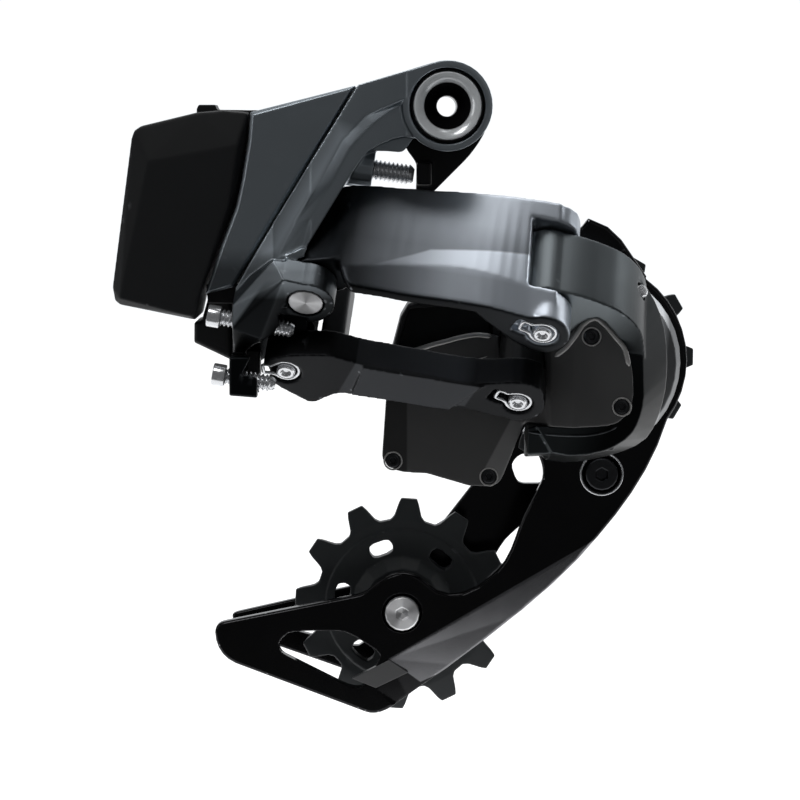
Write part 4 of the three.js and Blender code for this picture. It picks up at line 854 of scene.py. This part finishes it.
def pin_clips():
    spring_clip("front_clip_wire", (51.4, -9.7), 0.9, 150, "outer_arm", "outer_front_clip")
    spring_clip("lower_front_clip_wire", (45.5, -26.3), -5.1, 150, "inner_arm", "inner_front_clip")
    spring_clip("lower_rear_clip_wire", (-5.9, -16.6), -5.1, 176, "inner_arm", "inner_rear_clip")
    pin_nose("front_pin_nose", (51.4, -9.7), 0.0, "outer_arm")
    pin_nose("lower_front_pin_nose", (45.5, -26.3), -6.0, "inner_arm")
    pin_nose("lower_rear_pin_nose", (-5.9, -16.6), -6.0, "inner_arm")


COVER_SCREWS = ((32.5, -12.7, -51.3), (39.5, -12.7, -67.2), (-12.1, -3.3, -80.9), (10, -3.3, -84.6))


def cover_screws():
    """Button-head screws with a dark six-lobed key and a thin rim coloured light as a painted highlight."""
    for index, (x, y, z) in enumerate(COVER_SCREWS):
        rows = [(0.75, 0.05, 0, 0), (0.75, 0.7, 0.12, 0), (0.05, 0.8, 0.12, 0), (0, 0.95, 0, 0),
                (0.02, 1.35, 0, 0), (0.25, 1.75, 0, 0), (0.9, 1.8, 0, 0), (0.9, 0.05, 0, 0)]
        head = turned(f"cover_screw_head_{index + 1}", rows, (x, y, z), (0, 1, 0), "dark_steel",
                      "lower_knuckle", (f"cover_screw_{index + 1}",))
        rim = circle((x, y + 0.1, z), 2.05, 28)
        ring = tube(f"cover_screw_rim_{index + 1}", rim, 0.22, "painted_highlight_bead", "lower_knuckle", (), 6, True)


def surface_depth(node, x, z):
    """Where a line from the front first meets a CAD node, in millimetres."""
    start = point(x, -80, z)
    into = NODES[node].matrix_world.inverted()
    direction = into.to_3x3() @ Vector((0, 1, 0))
    hit, place, _normal, _face = NODES[node].ray_cast(into @ start, direction)
    return (NODES[node].matrix_world @ place).y / MM if hit else None


def lip(name, node, line, radius, sink, surface, body):
    """Beading that follows a node's front surface along a line of (x, z) points."""
    placed = []
    for x, z in line:
        depth = surface_depth(node, x, z)
        if depth is not None:
            placed.append(Vector((x, depth + sink, z)))
    bead = tube(name, smooth_path(placed), radius, surface, body)


def cover_lips():
    """The cover's glossy rolled edge and the small marks on its face, as beads coloured light as painted
    highlights, and a ridge on the shell.
    """
    rear = [(-10.4, -57), (-8.8, -56), (-6.3, -55.2), (-3.4, -54.2), (0, -53.3), (3.3, -52.4), (7.2, -51.8),
            (10.5, -52.2), (13.4, -53.2), (15.4, -54.2)]
    lip("cover_rear_lip", "motor_cover", rear, 0.6, 0.15, "painted_highlight_bead", "lower_knuckle")
    front = [(18.2, -56.1), (21.2, -56.6), (24.4, -56), (27, -53.8), (29, -51), (30.6, -48.6), (33.2, -47.2),
             (35.6, -48.8), (38, -51.6), (40, -54.2), (41, -58)]
    lip("cover_front_lip", "motor_cover", front, 0.6, 0.15, "painted_highlight_bead", "lower_knuckle")
    crease = [(3.4, -58.6), (9.5, -56.7), (14.6, -55.2)]
    lip("cover_crease", "motor_cover", crease, 0.16, 0, "painted_highlight_bead", "lower_knuckle")
    depth = surface_depth("motor_cover", -8.3, -57.6)
    rows = [(-0.6, 0.05), (-0.5, 0.45), (-0.2, 0.75), (0.5, 0.8), (0.5, 0.05)]
    stud = turned("cover_stud", plain(rows), (-8.3, depth, -57.6), (0, 1, 0), "painted_highlight_bead", "lower_knuckle")
    ridge = [(18.7, -73.4), (24.3, -73.9), (30.8, -74.1), (35.4, -73.4), (38.7, -72.1)]
    lip("shell_ridge", "p_knuckle", ridge, 0.35, 0.1, "shell_casting", "lower_knuckle")


dress_nodes()
adjusting_screws()
hanger_bolt()
pin_clips()
stop_bolt_ring()
cage_wedge()
shade_blocks()
cover_screws()
cover_lips()
cast_all()
